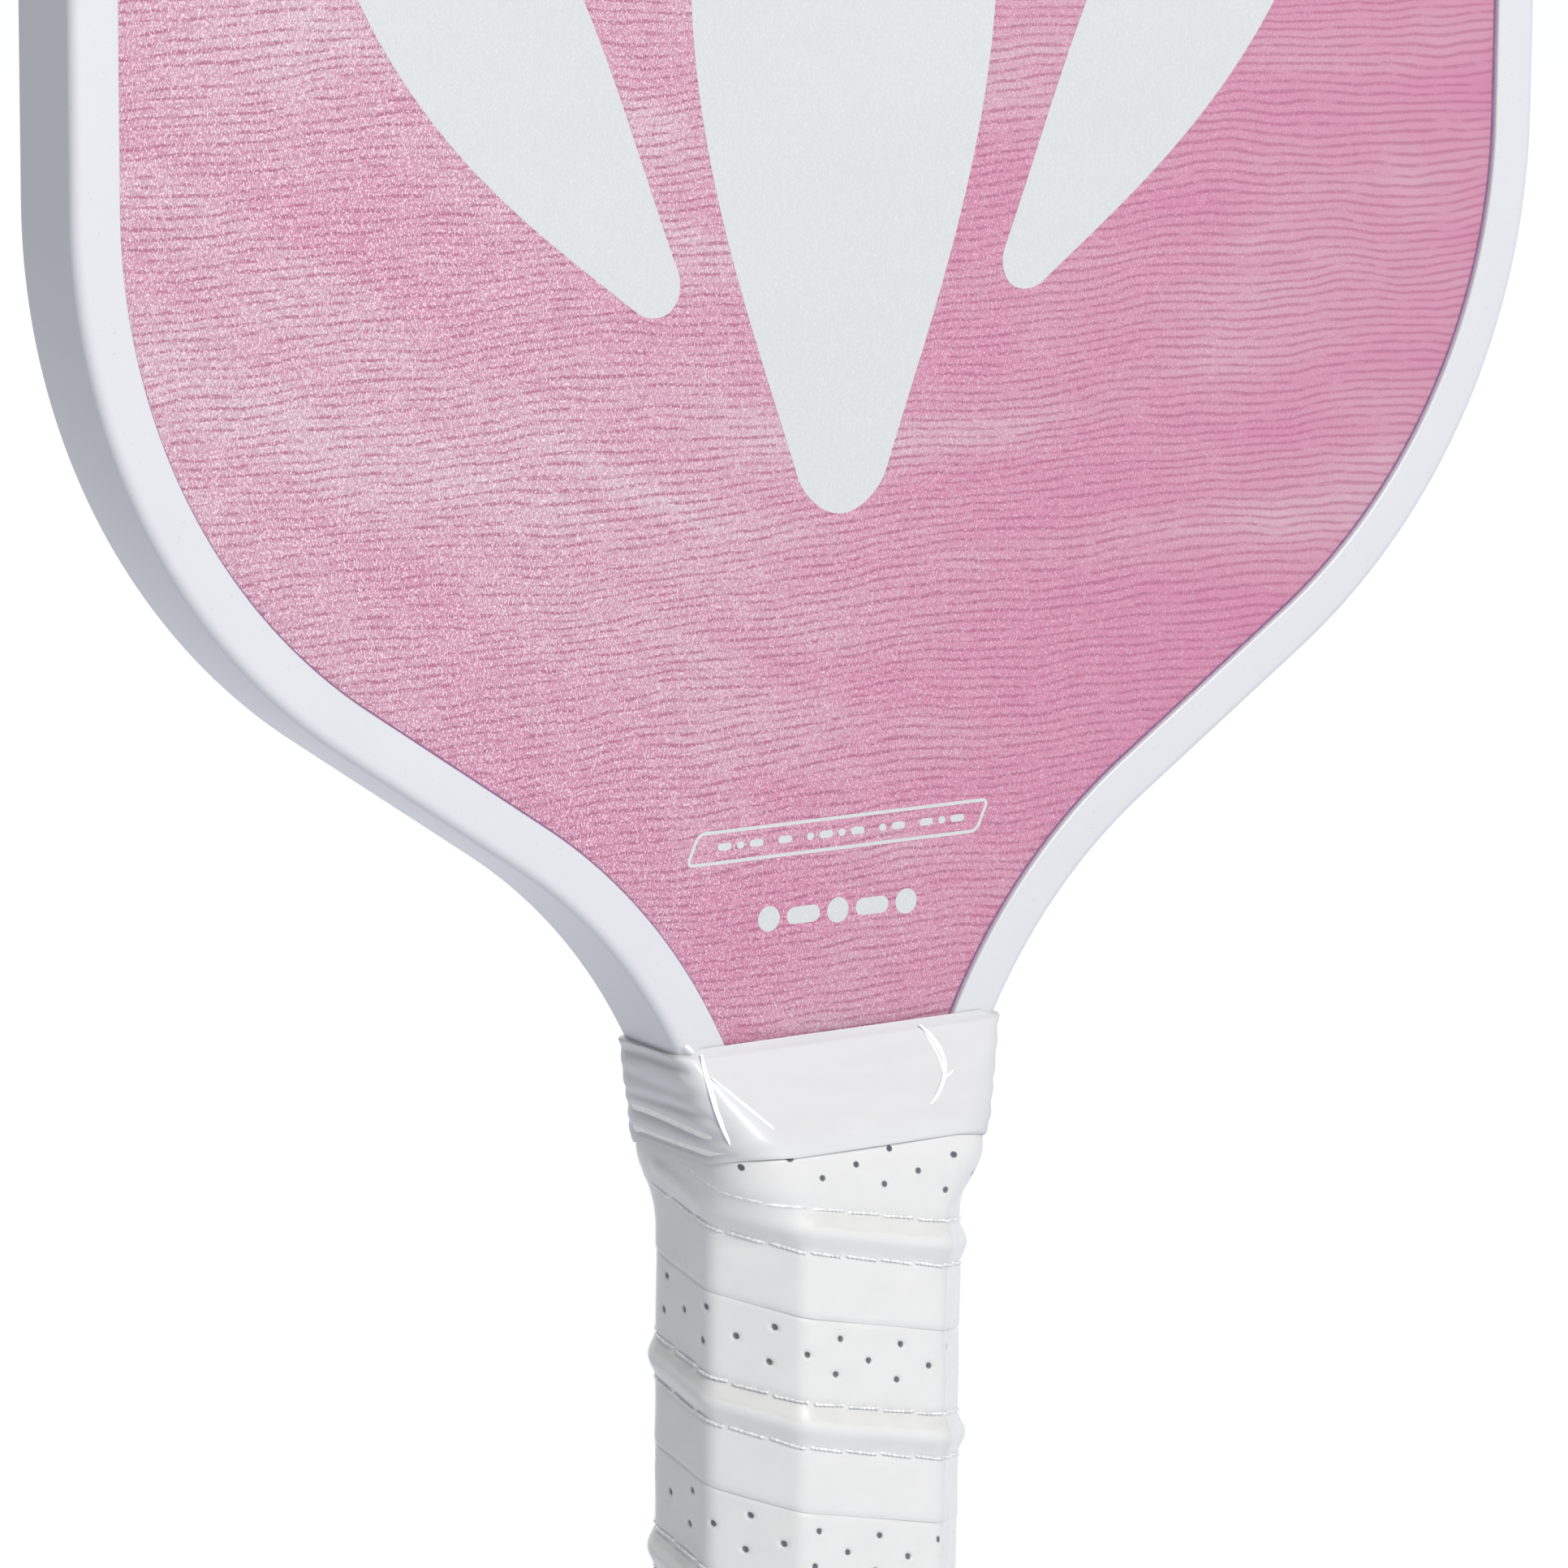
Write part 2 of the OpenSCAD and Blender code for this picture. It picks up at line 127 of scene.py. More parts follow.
# Folds of the collar's narrow sides: distance below its top edge, half height, depth.
COLLAR_FOLDS = ((1.3, 0.8, 0.6), (4.4, 0.9, 0.26), (6.9, 0.7, 0.42), (9.1, 0.85, 0.55), (11.7, 0.7, 0.35))

CAP_FLARE = 1.5
CAP_TOP = 3.0
CAP_ROUND = 0.7
SKIRT_TOP = 15.0
SKIRT_T = 1.0
INLAY_INSET = 3.0
INLAY_DEPTH = 1.0

FILM_T = 0.04
FILM_LIFT = 0.1
# The film clings to the collar above this drop from the collar's top.
CLING_DROP = 12.8

# Spacing of the cloth's ridges, and the height below which the print deepens to the neck.
CLOTH_PITCH = 1.12
HEAD_MIDDLE_Z = 195.0


# ---------------------------------------------------------------- mesh helpers


def make_mesh(name, points, faces, material, sharp=35, uv=None, weld=0.0):
    """A smooth-shaded closed mesh on the paddle's body. uv gives two numbers for each vertex."""
    mesh = bpy.data.meshes.new(name)
    mesh.from_pydata((np.asarray(points, float) * MM).tolist(), [], faces)
    if uv is not None:
        corner_vertex = np.zeros(len(mesh.loops), np.int32)
        mesh.loops.foreach_get("vertex_index", corner_vertex)
        layer = mesh.uv_layers.new(name="UVMap")
        layer.data.foreach_set("uv", np.asarray(uv, np.float32)[corner_vertex].ravel())
    bm = bmesh.new()
    bm.from_mesh(mesh)
    if weld:
        bmesh.ops.remove_doubles(bm, verts=bm.verts, dist=weld * MM)
    bmesh.ops.recalc_face_normals(bm, faces=bm.faces)
    bm.to_mesh(mesh)
    bm.free()
    mesh.validate()
    mesh.shade_smooth()
    mesh.set_sharp_from_angle(angle=math.radians(sharp))
    mesh.materials.append(material)
    piece = bpy.data.objects.new(name, mesh)
    bpy.context.scene.collection.objects.link(piece)
    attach(piece, BODY)
    return piece


def loft_faces(rings, count, caps=True, closed=False):
    """Faces of a tube through rings of points: quads, and the two ends unless it is closed."""
    quads = [
        (i * count + k, i * count + (k + 1) % count,
         (i + 1) % rings * count + (k + 1) % count, (i + 1) % rings * count + k)
        for i in range(rings if closed else rings - 1)
        for k in range(count)
    ]
    if caps and not closed:
        quads.append(tuple(range(count - 1, -1, -1)))
        quads.append(tuple((rings - 1) * count + k for k in range(count)))
    return quads


def smooth_step(low, high, value):
    t = np.clip((np.asarray(value, float) - low) / (high - low), 0, 1)
    return t * t * (3 - 2 * t)


def bell(value, centre, width):
    """A bell of height 1 round the centre."""
    return np.exp(-(((np.asarray(value, float) - centre) / width) ** 2))


# ---------------------------------------------------------------- outlines


def arc(centre, radius, start, end, step=1.2):
    count = max(2, int(abs(math.degrees(end - start)) / step) + 1)
    angle = np.linspace(start, end, count)
    return np.stack([centre[0] + radius * np.cos(angle), centre[1] + radius * np.sin(angle)], 1)


def head_outline(inset):
    """The head's outline [x, z], moved inwards, from the right end of the neck to the left."""
    shoulder = (HEAD_HALF_W - SHOULDER_R, COLLAR_TOP + SHOULDER_RISE)
    top_x = shoulder[0] + SHOULDER_R * math.cos(TAPER)
    top_z = shoulder[1] - SHOULDER_R * math.sin(TAPER)
    low_z = top_z - (top_x - NECK_X) / math.tan(TAPER)
    neck = (NECK_X + NECK_R * math.cos(TAPER), low_z - NECK_R * math.sin(TAPER))
    crown = (0, HEAD_TOP - CROWN_R)
    corner_x = HEAD_HALF_W - CORNER_R
    corner = (corner_x, crown[1] + math.sqrt((CROWN_R - CORNER_R) ** 2 - corner_x**2))
    split = math.pi / 2 - math.asin(corner_x / (CROWN_R - CORNER_R))
    right = np.concatenate([
        arc(neck, NECK_R + inset, math.pi - NECK_END_ANGLE, math.pi - TAPER),
        arc(shoulder, SHOULDER_R - inset, -TAPER, 0),
        arc(corner, CORNER_R - inset, 0, split),
        arc(crown, CROWN_R - inset, split, math.pi / 2)[1:],
    ])
    return np.concatenate([right, right[-2::-1] * [-1, 1]])


def octagon_corners(grow):
    """Corners of the handle's octagon, anticlockwise from the front flat's right end."""
    x, y = GRIP_HALF_W + grow, GRIP_HALF_D + grow
    b = GRIP_BEVEL + grow * (2 - math.sqrt(2))
    return np.array([
        (x - b, -y), (x, b - y), (x, y - b), (x - b, y),
        (b - x, y), (-x, y - b), (-x, b - y), (b - x, -y),
    ])


def octagon_loop(grow, radius, steps=6):
    """The octagon with its corners rounded, as a loop of points [x, y]."""
    points = []
    for j, corner in enumerate(octagon_corners(grow)):
        middle = math.radians(45 * j - 90 + HALF_CORNER)
        inwards = radius / math.cos(math.radians(HALF_CORNER))
        centre = corner - inwards * np.array([math.cos(middle), math.sin(middle)])
        for t in np.linspace(-HALF_CORNER, HALF_CORNER, steps + 1):
            angle = middle + math.radians(t)
            points.append(centre + radius * np.array([math.cos(angle), math.sin(angle)]))
    return np.array(points)


def octagon_knots():
    """Distance along the gripped handle's surface, position and direction of the outward normal,
    at the ends of the flats and along the corners, from the middle of the front flat."""
    turned = [(0.0, 0.0, -GRIP_HALF_D, -90.0)]
    loop = octagon_loop(0, GRIP_ROUND, 12)
    angles = np.concatenate([45 * j - 90 + np.linspace(0, 45, 13) for j in range(8)])
    for (x, y), angle in zip(loop, angles):
        s, last_x, last_y, _ = turned[-1]
        turned.append((s + math.hypot(x - last_x, y - last_y), x, y, angle))
    s, last_x, last_y, _ = turned[-1]
    turned.append((s + abs(last_x), 0.0, -GRIP_HALF_D, 270.0))
    return np.array(turned).T


KNOTS = octagon_knots()
PERIMETER = KNOTS[0][-1]


def on_grip(s, height):
    """Point [x, y] at a distance s round the handle and a height above its surface."""
    turn = np.mod(s, PERIMETER)
    x, y, angle = (np.interp(turn, KNOTS[0], KNOTS[i]) for i in (1, 2, 3))
    normal_x, normal_y = np.cos(np.radians(angle)), np.sin(np.radians(angle))
    return x + normal_x * height, y + normal_y * height


def rectangle_reach(size, angle):
    """How far a rounded rectangle [width, depth, corner radius] reaches in each direction."""
    loop = []
    for quarter in range(4):
        x = (size[0] / 2 - size[2]) * (1 if quarter in (0, 3) else -1)
        y = (size[1] / 2 - size[2]) * (1 if quarter < 2 else -1)
        for t in np.linspace(quarter, quarter + 1, 25) * math.pi / 2:
            loop.append((x + size[2] * math.cos(t), y + size[2] * math.sin(t)))
    loop = np.array(loop + loop[:1])
    share = np.linspace(0, 1, 30, endpoint=False)[:, None]
    dense = np.concatenate([loop[k] + (loop[k + 1] - loop[k]) * share for k in range(len(loop) - 1)])
    turn = np.mod(np.arctan2(dense[:, 1], dense[:, 0]), 2 * math.pi)
    order = np.argsort(turn)
    reach = np.hypot(dense[:, 0], dense[:, 1])
    return np.interp(np.mod(angle, 2 * math.pi), turn[order], reach[order], period=2 * math.pi)


def under_collar(x, y, z, reach_in=0.95, narrowing=0.1):
    """Swells the wrap's top end, where its turns are taped, towards the collar's own section."""
    share = smooth_step(SWELL_LOW_Z, SWELL_TOP_Z, z)
    narrow = smooth_step(COLLAR_BEND_Z - 0.5, WRAP_TOP, z) * narrowing
    reach = np.hypot(x, y)
    target = rectangle_reach(COLLAR_BOTTOM, np.arctan2(y, x)) - reach_in
    scale = (reach + share * np.maximum(target - reach, 0)) / reach * (1 - narrow)
    return x * scale, y * scale


# ---------------------------------------------------------------- shader helpers


class Nodes:
    """Short names for building one material's node tree."""

    def __init__(self, name):
        self.material = bpy.data.materials.new(name)
        self.material.use_nodes = True
        self.tree = self.material.node_tree
        self.tree.nodes.clear()
        self.output = self.add("ShaderNodeOutputMaterial")

    def add(self, kind, **settings):
        node = self.tree.nodes.new(kind)
        for key, value in settings.items():
            setattr(node, key, value)
        return node

    def link(self, source, target):
        """Links a socket, or sets a plain value, on a target socket."""
        if isinstance(source, bpy.types.NodeSocket):
            self.tree.links.new(source, target)
        else:
            target.default_value = source

    def tint(self, colour, target):
        """Links a colour socket, or sets a plain colour, on a target socket."""
        self.link(colour if isinstance(colour, bpy.types.NodeSocket) else (*colour, 1), target)

    def math(self, operation, a, b=0.0, clamp=False):
        node = self.add("ShaderNodeMath", operation=operation, use_clamp=clamp)
        self.link(a, node.inputs[0])
        self.link(b, node.inputs[1])
        return node.outputs[0]

    def place(self, scale=1, kind="Object"):
        """Coordinates in millimetres, or UV, stretched by one scale or by one for each axis."""
        mapping = self.add("ShaderNodeMapping")
        factor = 1 if kind == "UV" else 1 / MM
        mapping.inputs["Scale"].default_value = [factor * s for s in np.broadcast_to(scale, 3).tolist()]
        self.link(self.add("ShaderNodeTexCoord").outputs[kind], mapping.inputs["Vector"])
        return mapping.outputs["Vector"]

    def axes(self, vector):
        node = self.add("ShaderNodeSeparateXYZ")
        self.link(vector, node.inputs[0])
        return node.outputs

    def noise(self, vector, detail=2.0, roughness=0.5, scale=1.0, distortion=0.0):
        node = self.add("ShaderNodeTexNoise")
        self.link(vector, node.inputs["Vector"])
        node.inputs["Scale"].default_value = scale
        node.inputs["Detail"].default_value = detail
        node.inputs["Roughness"].default_value = roughness
        node.inputs["Distortion"].default_value = distortion
        return node.outputs["Fac"]

    def ramp(self, value, stops):
        """Colour ramp from (position, colour or grey) stops."""
        node = self.add("ShaderNodeValToRGB")
        self.link(value, node.inputs[0])
        elements = node.color_ramp.elements
        while len(elements) < len(stops):
            elements.new(0.5)
        for element, (position, colour) in zip(elements, stops):
            element.position = position
            shade = (colour,) * 3 if isinstance(colour, (int, float)) else colour
            element.color = (*shade, 1)
        return node.outputs[0]

    def mix(self, share, a, b, blend="MIX"):
        node = self.add("ShaderNodeMix", data_type="RGBA", blend_type=blend)
        self.link(share, node.inputs["Factor"])
        for colour, key in ((a, "A"), (b, "B")):
            socket = [i for i in node.inputs if i.name == key and i.type == "RGBA"][0]
            self.tint(colour, socket)
        return [o for o in node.outputs if o.type == "RGBA"][0]

    def bump(self, height, distance, strength=1.0, normal=None):
        """Bump from a height of 0 to 1 that stands for a distance in millimetres."""
        node = self.add("ShaderNodeBump")
        node.inputs["Strength"].default_value = strength
        node.inputs["Distance"].default_value = distance * MM
        self.link(height, node.inputs["Height"])
        if normal is not None:
            self.link(normal, node.inputs["Normal"])
        return node.outputs[0]

    def surface(self, colour, roughness, normal=None, **values):
        """Finishes the material with one Principled shader."""
        shader = self.add("ShaderNodeBsdfPrincipled")
        self.tint(colour, shader.inputs["Base Color"])
        self.link(roughness, shader.inputs["Roughness"])
        if normal is not None:
            self.link(normal, shader.inputs["Normal"])
        for key, value in values.items():
            shader.inputs[key].default_value = value
        self.link(shader.outputs[0], self.output.inputs["Surface"])
        return self.material


# ---------------------------------------------------------------- materials


def print_material():
    """Streaked pink print under a satin coat with the cloth's fine ridges, and pale flecks painted in as
    glints.
    """
    n = Nodes("pink_print")
    x, _, z = n.axes(n.place())
    leftwards = n.add("ShaderNodeMath", operation="SMOOTH_MIN")
    n.link(n.math("ADD", x, 12.0), leftwards.inputs[0])
    leftwards.inputs[1].default_value = 0.0
    leftwards.inputs[2].default_value = 40.0
    level = n.math("ADD", z, n.math("MULTIPLY", leftwards.outputs[0], 0.55))
    brushed = n.add("ShaderNodeCombineXYZ")
    n.link(n.math("MULTIPLY", x, 0.014), brushed.inputs[0])
    n.link(n.math("MULTIPLY", level, 0.085), brushed.inputs[2])
    streaks = n.noise(brushed.outputs[0], 5, 0.6, distortion=0.4)
    cloud = n.noise(n.place((0.018, 0.018, 0.03)), 4, 0.5, distortion=0.8)
    tone = n.math("ADD", n.math("MULTIPLY", cloud, 0.5), n.math("MULTIPLY", streaks, 0.5))
    neckwards = n.math("MINIMUM", n.math("SUBTRACT", z, HEAD_MIDDLE_Z), 0.0)
    trend = n.math("ADD", n.math("MULTIPLY", x, -0.0005), n.math("MULTIPLY", neckwards, 0.001))
    tone = n.math("ADD", tone, trend)
    pink = n.ramp(tone, [
        (0.38, (0.368, 0.136, 0.222)),
        (0.47, (0.370, 0.169, 0.246)),
        (0.55, (0.375, 0.211, 0.274)),
        (0.65, (0.390, 0.280, 0.320)),
    ])

    drift = n.noise(n.place((0.03, 0.03, 0.04)), 3, 0.5)
    fine = n.noise(n.place((0.2, 0.2, 0.5)), 2, 0.5)
    height = n.math("ADD", z, n.math("MULTIPLY", drift, 7.0))
    height = n.math("ADD", height, n.math("MULTIPLY", fine, 0.35))
    wave = n.math("SINE", n.math("MULTIPLY", height, 2 * math.pi / CLOTH_PITCH))
    # Strength that falls off to the right, for the dashes, the dark grit and the painted glints.
    weaker_right = n.math("MULTIPLY", x, -0.007)
    coarse = n.math("ADD", weaker_right, 0.68, clamp=True)
    broken = n.noise(n.place((0.2, 0.2, 1.1)), 3, 0.7)
    whole = n.math("SUBTRACT", broken, n.math("MULTIPLY", coarse, 0.07))
    ridges = n.ramp(wave, [(0.1, 0.0), (0.9, 1.0)])
    dashes = n.math("MULTIPLY", ridges, n.ramp(whole, [(0.34, 0.15), (0.48, 1.0)]))
    strength = n.math("MULTIPLY", dashes, n.math("ADD", n.math("MULTIPLY", coarse, 0.55), 0.6))
    pink = n.mix(strength, pink, n.mix(0.8, pink, (0.235, 0.055, 0.12)))

    grit = n.noise(n.place((7.0, 7.0, 3.6)), 1, 0.5)
    # Painted glints: pale flecks where the grit is high, stronger to the left.
    light = n.math("MULTIPLY", n.ramp(grit, [(0.50, 0.0), (0.72, 1.0)]), n.math("MULTIPLY", coarse, 0.85))
    pink = n.mix(light, pink, (0.60, 0.50, 0.55))
    deep = n.math("MULTIPLY", n.ramp(grit, [(0.30, 1.0), (0.50, 0.0)]), n.math("MULTIPLY", coarse, 0.5))
    pink = n.mix(deep, pink, (0.24, 0.095, 0.16))

    relief = n.math("ADD", n.math("MULTIPLY", dashes, -1.0), n.math("MULTIPLY", grit, 0.7))
    normal = n.bump(relief, 0.05, 0.4)
    rough = n.math("ADD", n.math("MULTIPLY", broken, 0.2), 0.36)
    return n.surface(pink, rough, normal)


def ink_material():
    """Pale ink of the printed marks, with the same fine sparkle as the face, painted in as pale flecks that
    stand for glints.
    """
    n = Nodes("pale_ink")
    grit = n.noise(n.place((6.5, 6.5, 3.6)), 2, 0.6)
    soft = n.noise(n.place((0.02, 0.02, 0.05)), 3, 0.5)
    colour = n.ramp(soft, [(0.3, (0.394, 0.411, 0.423)), (0.7, (0.404, 0.421, 0.433))])
    # Painted glints: pale flecks where the grit is high.
    sparkle = n.math("MULTIPLY", n.ramp(grit, [(0.5, 0.0), (0.72, 1.0)]), 0.25)
    colour = n.mix(sparkle, colour, (0.62, 0.62, 0.63))
    return n.surface(colour, 0.42, n.bump(grit, 0.03, 0.4))


def guard_material():
    """Satin white moulded guard with a faint orange-peel surface, and painted shade on its side wall."""
    n = Nodes("guard_white")
    peel = n.noise(n.place(1.3), 3, 0.5)
    stain = n.noise(n.place(0.05), 4, 0.6)
    colour = n.ramp(stain, [(0.3, (0.435, 0.444, 0.467)), (0.7, (0.447, 0.455, 0.477))])
    specks = n.noise(n.place(2.2), 0, 0.5)
    colour = n.mix(n.ramp(specks, [(0.80, 0.0), (0.84, 0.3)]), colour, (0.28, 0.27, 0.26))
    # Painted shade: inside the rim's depth, on the guard's side wall, the white is darkened a little.
    depth = n.math("ABSOLUTE", n.axes(n.place())[1])
    rim_depth = 6.2
    wall = n.math("MULTIPLY", n.math("SUBTRACT", rim_depth, depth), 1.2, clamp=True)
    colour = n.mix(n.math("MULTIPLY", wall, 0.12), colour, (0.22, 0.23, 0.26))
    rough = n.math("ADD", n.math("MULTIPLY", stain, 0.12), 0.30)
    return n.surface(colour, rough, n.bump(peel, 0.012, 0.5))


def collar_material():
    n = Nodes("collar_rubber")
    grain = n.noise(n.place(2.5), 3, 0.6)
    tone = n.noise(n.place((0.12, 0.12, 0.5)), 3, 0.5)
    colour = n.ramp(tone, [(0.3, (0.437, 0.443, 0.453)), (0.7, (0.457, 0.463, 0.472))])
    return n.surface(colour, 0.55, n.bump(grain, 0.02, 0.4))


def hole_mask(n):
    """1 inside the grip's perforations, from the strip's own coordinates in millimetres."""
    u, v, _ = n.axes(n.place(kind="UV"))
    nearest = None
    for row, shift in zip(HOLE_ROWS, HOLE_SHIFTS):
        along = n.math("SUBTRACT", u, shift)
        along = n.math("PINGPONG", along, HOLE_PITCH / 2)
        across = n.math("SUBTRACT", v, row)
        square = n.math("ADD", n.math("POWER", along, 2.0), n.math("POWER", across, 2.0))
        distance = n.math("SQRT", square)
        nearest = distance if nearest is None else n.math("MINIMUM", nearest, distance)
    return n.ramp(n.math("DIVIDE", nearest, 2 * HOLE_R), [(0.36, 1.0), (0.5, 0.0)])


def skin_material():
    """Perforated white synthetic leather, its perforations painted nearly black as the shade inside the
    holes.
    """
    n = Nodes("grip_skin")
    pores = n.noise(n.place(3.0), 3, 0.6)
    creases = n.noise(n.place((0.25, 0.25, 0.5)), 4, 0.6)
    colour = n.ramp(creases, [(0.3, (0.490, 0.490, 0.486)), (0.7, (0.512, 0.512, 0.508))])
    # Painted shade: the perforations are painted nearly black, where the mesh only dips.
    colour = n.mix(hole_mask(n), colour, (0.05, 0.05, 0.065))
    height = n.math("ADD", n.math("MULTIPLY", pores, 0.5), creases)
    return n.surface(colour, 0.48, n.bump(height, 0.03, 0.45))


def thread_material():
    n = Nodes("stitch_thread")
    fibre = n.noise(n.place(2.0), 2, 0.6)
    colour = n.ramp(fibre, [(0.3, (0.42, 0.43, 0.44)), (0.65, (0.66, 0.66, 0.66))])
    return n.surface(colour, 0.5, n.bump(fibre, 0.03, 0.5))


def film_material():
    """Clear glossy shrink film: a mirror-like reflection over a transparent sheet."""
    n = Nodes("clear_film")
    clear = n.add("ShaderNodeBsdfTransparent")
    gloss = n.add("ShaderNodeBsdfPrincipled")
    gloss.inputs["Base Color"].default_value = (0.97, 0.98, 1.0, 1)
    gloss.inputs["Metallic"].default_value = 1.0
    gloss.inputs["Roughness"].default_value = 0.09
    ripple = n.noise(n.place((0.5, 0.5, 0.08)), 3, 0.5)
    normal = n.bump(ripple, 0.04, 0.5)
    n.link(normal, gloss.inputs["Normal"])
    facing = n.add("ShaderNodeLayerWeight")
    facing.inputs["Blend"].default_value = 0.5
    grazing = n.math("MULTIPLY", n.math("POWER", facing.outputs["Facing"], 4.0), 0.3)
    scuffs = n.noise(n.place((0.3, 0.3, 0.2)), 4, 0.65)
    straight = n.math("ADD", n.math("MULTIPLY", scuffs, 0.02), 0.02)
    height = n.axes(n.place())[2]
    loose = n.math("MULTIPLY", n.math("SUBTRACT", COLLAR_TOP - CLING_DROP, height), 0.4, clamp=True)
    cling = n.math("ADD", n.math("MULTIPLY", loose, 0.9), 0.1)
    share = n.math("MULTIPLY", n.math("ADD", grazing, straight), cling)
    mix = n.add("ShaderNodeMixShader")
    n.link(share, mix.inputs[0])
    n.link(clear.outputs[0], mix.inputs[1])
    n.link(gloss.outputs[0], mix.inputs[2])
    n.link(mix.outputs[0], n.output.inputs["Surface"])
    return n.material


def fold_material():
    """Folds of the film, their near-white colour a painted highlight; glossy."""
    n = Nodes("crease_highlight_paint")
    cloud = n.noise(n.place(1.2), 3, 0.6)
    colour = n.ramp(cloud, [(0.3, (0.84, 0.85, 0.86)), (0.7, (0.97, 0.97, 0.98))])
    return n.surface(colour, 0.12, n.bump(cloud, 0.05, 0.3))


def plain_material(name, dark, light, scale, roughness, depth):
    """A mottled material for the pieces that mostly lie inside."""
    n = Nodes(name)
    grain = n.noise(n.place(scale), 4, 0.6)
    colour = n.ramp(grain, [(0.3, dark), (0.7, light)])
    return n.surface(colour, roughness, n.bump(grain, depth, 0.5))


def cap_material():
    n = Nodes("cap_plastic")
    grain = n.noise(n.place(2.0), 3, 0.5)
    tone = n.noise(n.place(0.08), 3, 0.5)
    colour = n.ramp(tone, [(0.3, (0.52, 0.525, 0.53)), (0.7, (0.55, 0.555, 0.56))])
    return n.surface(colour, 0.4, n.bump(grain, 0.02, 0.5))


# ---------------------------------------------------------------- pieces


def guard_section():
    """The guard's U section as [distance in from the outline, depth], once round."""
    def half(side):
        points = []
        for t in np.linspace(0, math.pi / 2, 9):
            points.append((
                GUARD_ROUND * (1 - math.cos(t)),
                side * (GUARD_HALF - GUARD_ROUND * (1 - math.sin(t))),
            ))
        for t in np.linspace(0, math.pi / 2, 6):
            points.append((
                GUARD_LIP - LIP_ROUND * (1 - math.sin(t)),
                side * (GUARD_HALF - LIP_ROUND * (1 - math.cos(t))),
            ))
        points.append((GUARD_LIP, side * PANEL_HALF))
        points.append((GUARD_WALL, side * PANEL_HALF))
        return points
    return half(1)[::-1] + half(-1)


def add_guard(material):
    section = guard_section()
    paths = [head_outline(inset) for inset, _ in section]
    rings = len(paths[0])
    points = [
        (path[i][0], depth, path[i][1])
        for i in range(rings)
        for path, (_, depth) in zip(paths, section)
    ]
    piece = make_mesh("edge_guard_moulding", points, loft_faces(rings, len(section)), material)
    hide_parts("edge_guard")


def strip_waves(s, v):
    """Lap of the strip's lower edge over the next turn, and its slight unevenness."""
    lap = 0.12 * (v / WRAP_PITCH - 0.5)
    return lap + 0.05 * np.sin(s * 0.31 + 1.0) * np.sin(v * 0.45) + 0.03 * np.sin(s * 0.83 + v * 0.6)


def wrap_height(s, v):
    """Height of the wrap's surface above its nominal flat, at v across the strip."""
    rib = RIB_H * 0.5 * (1 + np.cos(np.pi * np.clip(np.abs(v - RIB_AT) / RIB_HALF, 0, 1)))
    valleys = bell(v, RIB_AT - STITCH_AT, 0.4) + bell(v, RIB_AT + STITCH_AT, 0.4)
    seam = bell(v, 0, 0.3) + bell(v, WRAP_PITCH, 0.3)
    return rib + strip_waves(s, v) - 0.16 * valleys - 0.16 * seam


def hole_place(s):
    """Distance along the strip counted in its own perforations, which shift a little each turn."""
    offsets = []
    for turn, start in enumerate(HOLE_STARTS):
        offset = -(turn * PERIMETER + start)
        last = offsets[-1] if offsets else 0.0
        offsets.append(offset + HOLE_PITCH * round((last - offset) / HOLE_PITCH))
    turns = range(len(HOLE_STARTS))
    knots = [turn * PERIMETER + side * PERIMETER / 4 for turn in turns for side in (-1, 1)]
    return s + np.interp(s, knots, np.repeat(offsets, 2))


def holes_depth(s, v):
    """0 to 1: how deep the surface dips into the perforations."""
    depth = np.zeros(np.broadcast(s, v).shape)
    for row, shift in zip(HOLE_ROWS, HOLE_SHIFTS):
        along = np.mod(hole_place(s) - shift + HOLE_PITCH / 2, HOLE_PITCH) - HOLE_PITCH / 2
        distance = np.hypot(along, v - row)
        depth = np.maximum(depth, 1 - smooth_step(0.15, HOLE_R + 0.12, distance))
    return depth


def strip_z(s, v):
    return FRONT_EDGE_Z - WRAP_PITCH * s / PERIMETER - v


def add_wrap(material):
    """The grip's skin: one closed strip whose turns meet edge to edge."""
    first = (FRONT_EDGE_Z - WRAP_PITCH - WRAP_TOP) / WRAP_PITCH * PERIMETER
    last = (FRONT_EDGE_Z - WRAP_LOW) / WRAP_PITCH * PERIMETER
    columns = int((last - first) / STRIP_STEP)
    s = np.linspace(first, last, columns)[:, None]
    outer_v = np.concatenate([np.linspace(*line) for line in STRIP_LINES])
    inner_v = np.array([WRAP_PITCH, RIB_AT + RIB_HALF, RIB_AT, RIB_AT - RIB_HALF, 0])
    v = np.concatenate([outer_v, inner_v])[None, :]
    z = np.clip(strip_z(s, v), WRAP_LOW, WRAP_TOP)
    v = strip_z(s, 0) - z
    height = wrap_height(s, v)
    outside = np.arange(v.shape[1]) < len(outer_v)
    pierced = height - HOLE_DEPTH * holes_depth(s, v)
    height = np.where(outside[None, :], pierced, np.maximum(height, 0) - SKIN_T)
    x, y = on_grip(s + 0 * v, height)
    x, y = under_collar(x, y, z)
    points = np.stack([x, y, z], -1).reshape(-1, 3)
    uv = np.stack([hole_place(s) + 0 * v, v], -1).reshape(-1, 2)
    faces = loft_faces(columns, v.shape[1])
    piece = make_mesh("grip_wrap", points, faces, material, 50, uv, weld=0.002)
    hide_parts("grip_skin_strip")


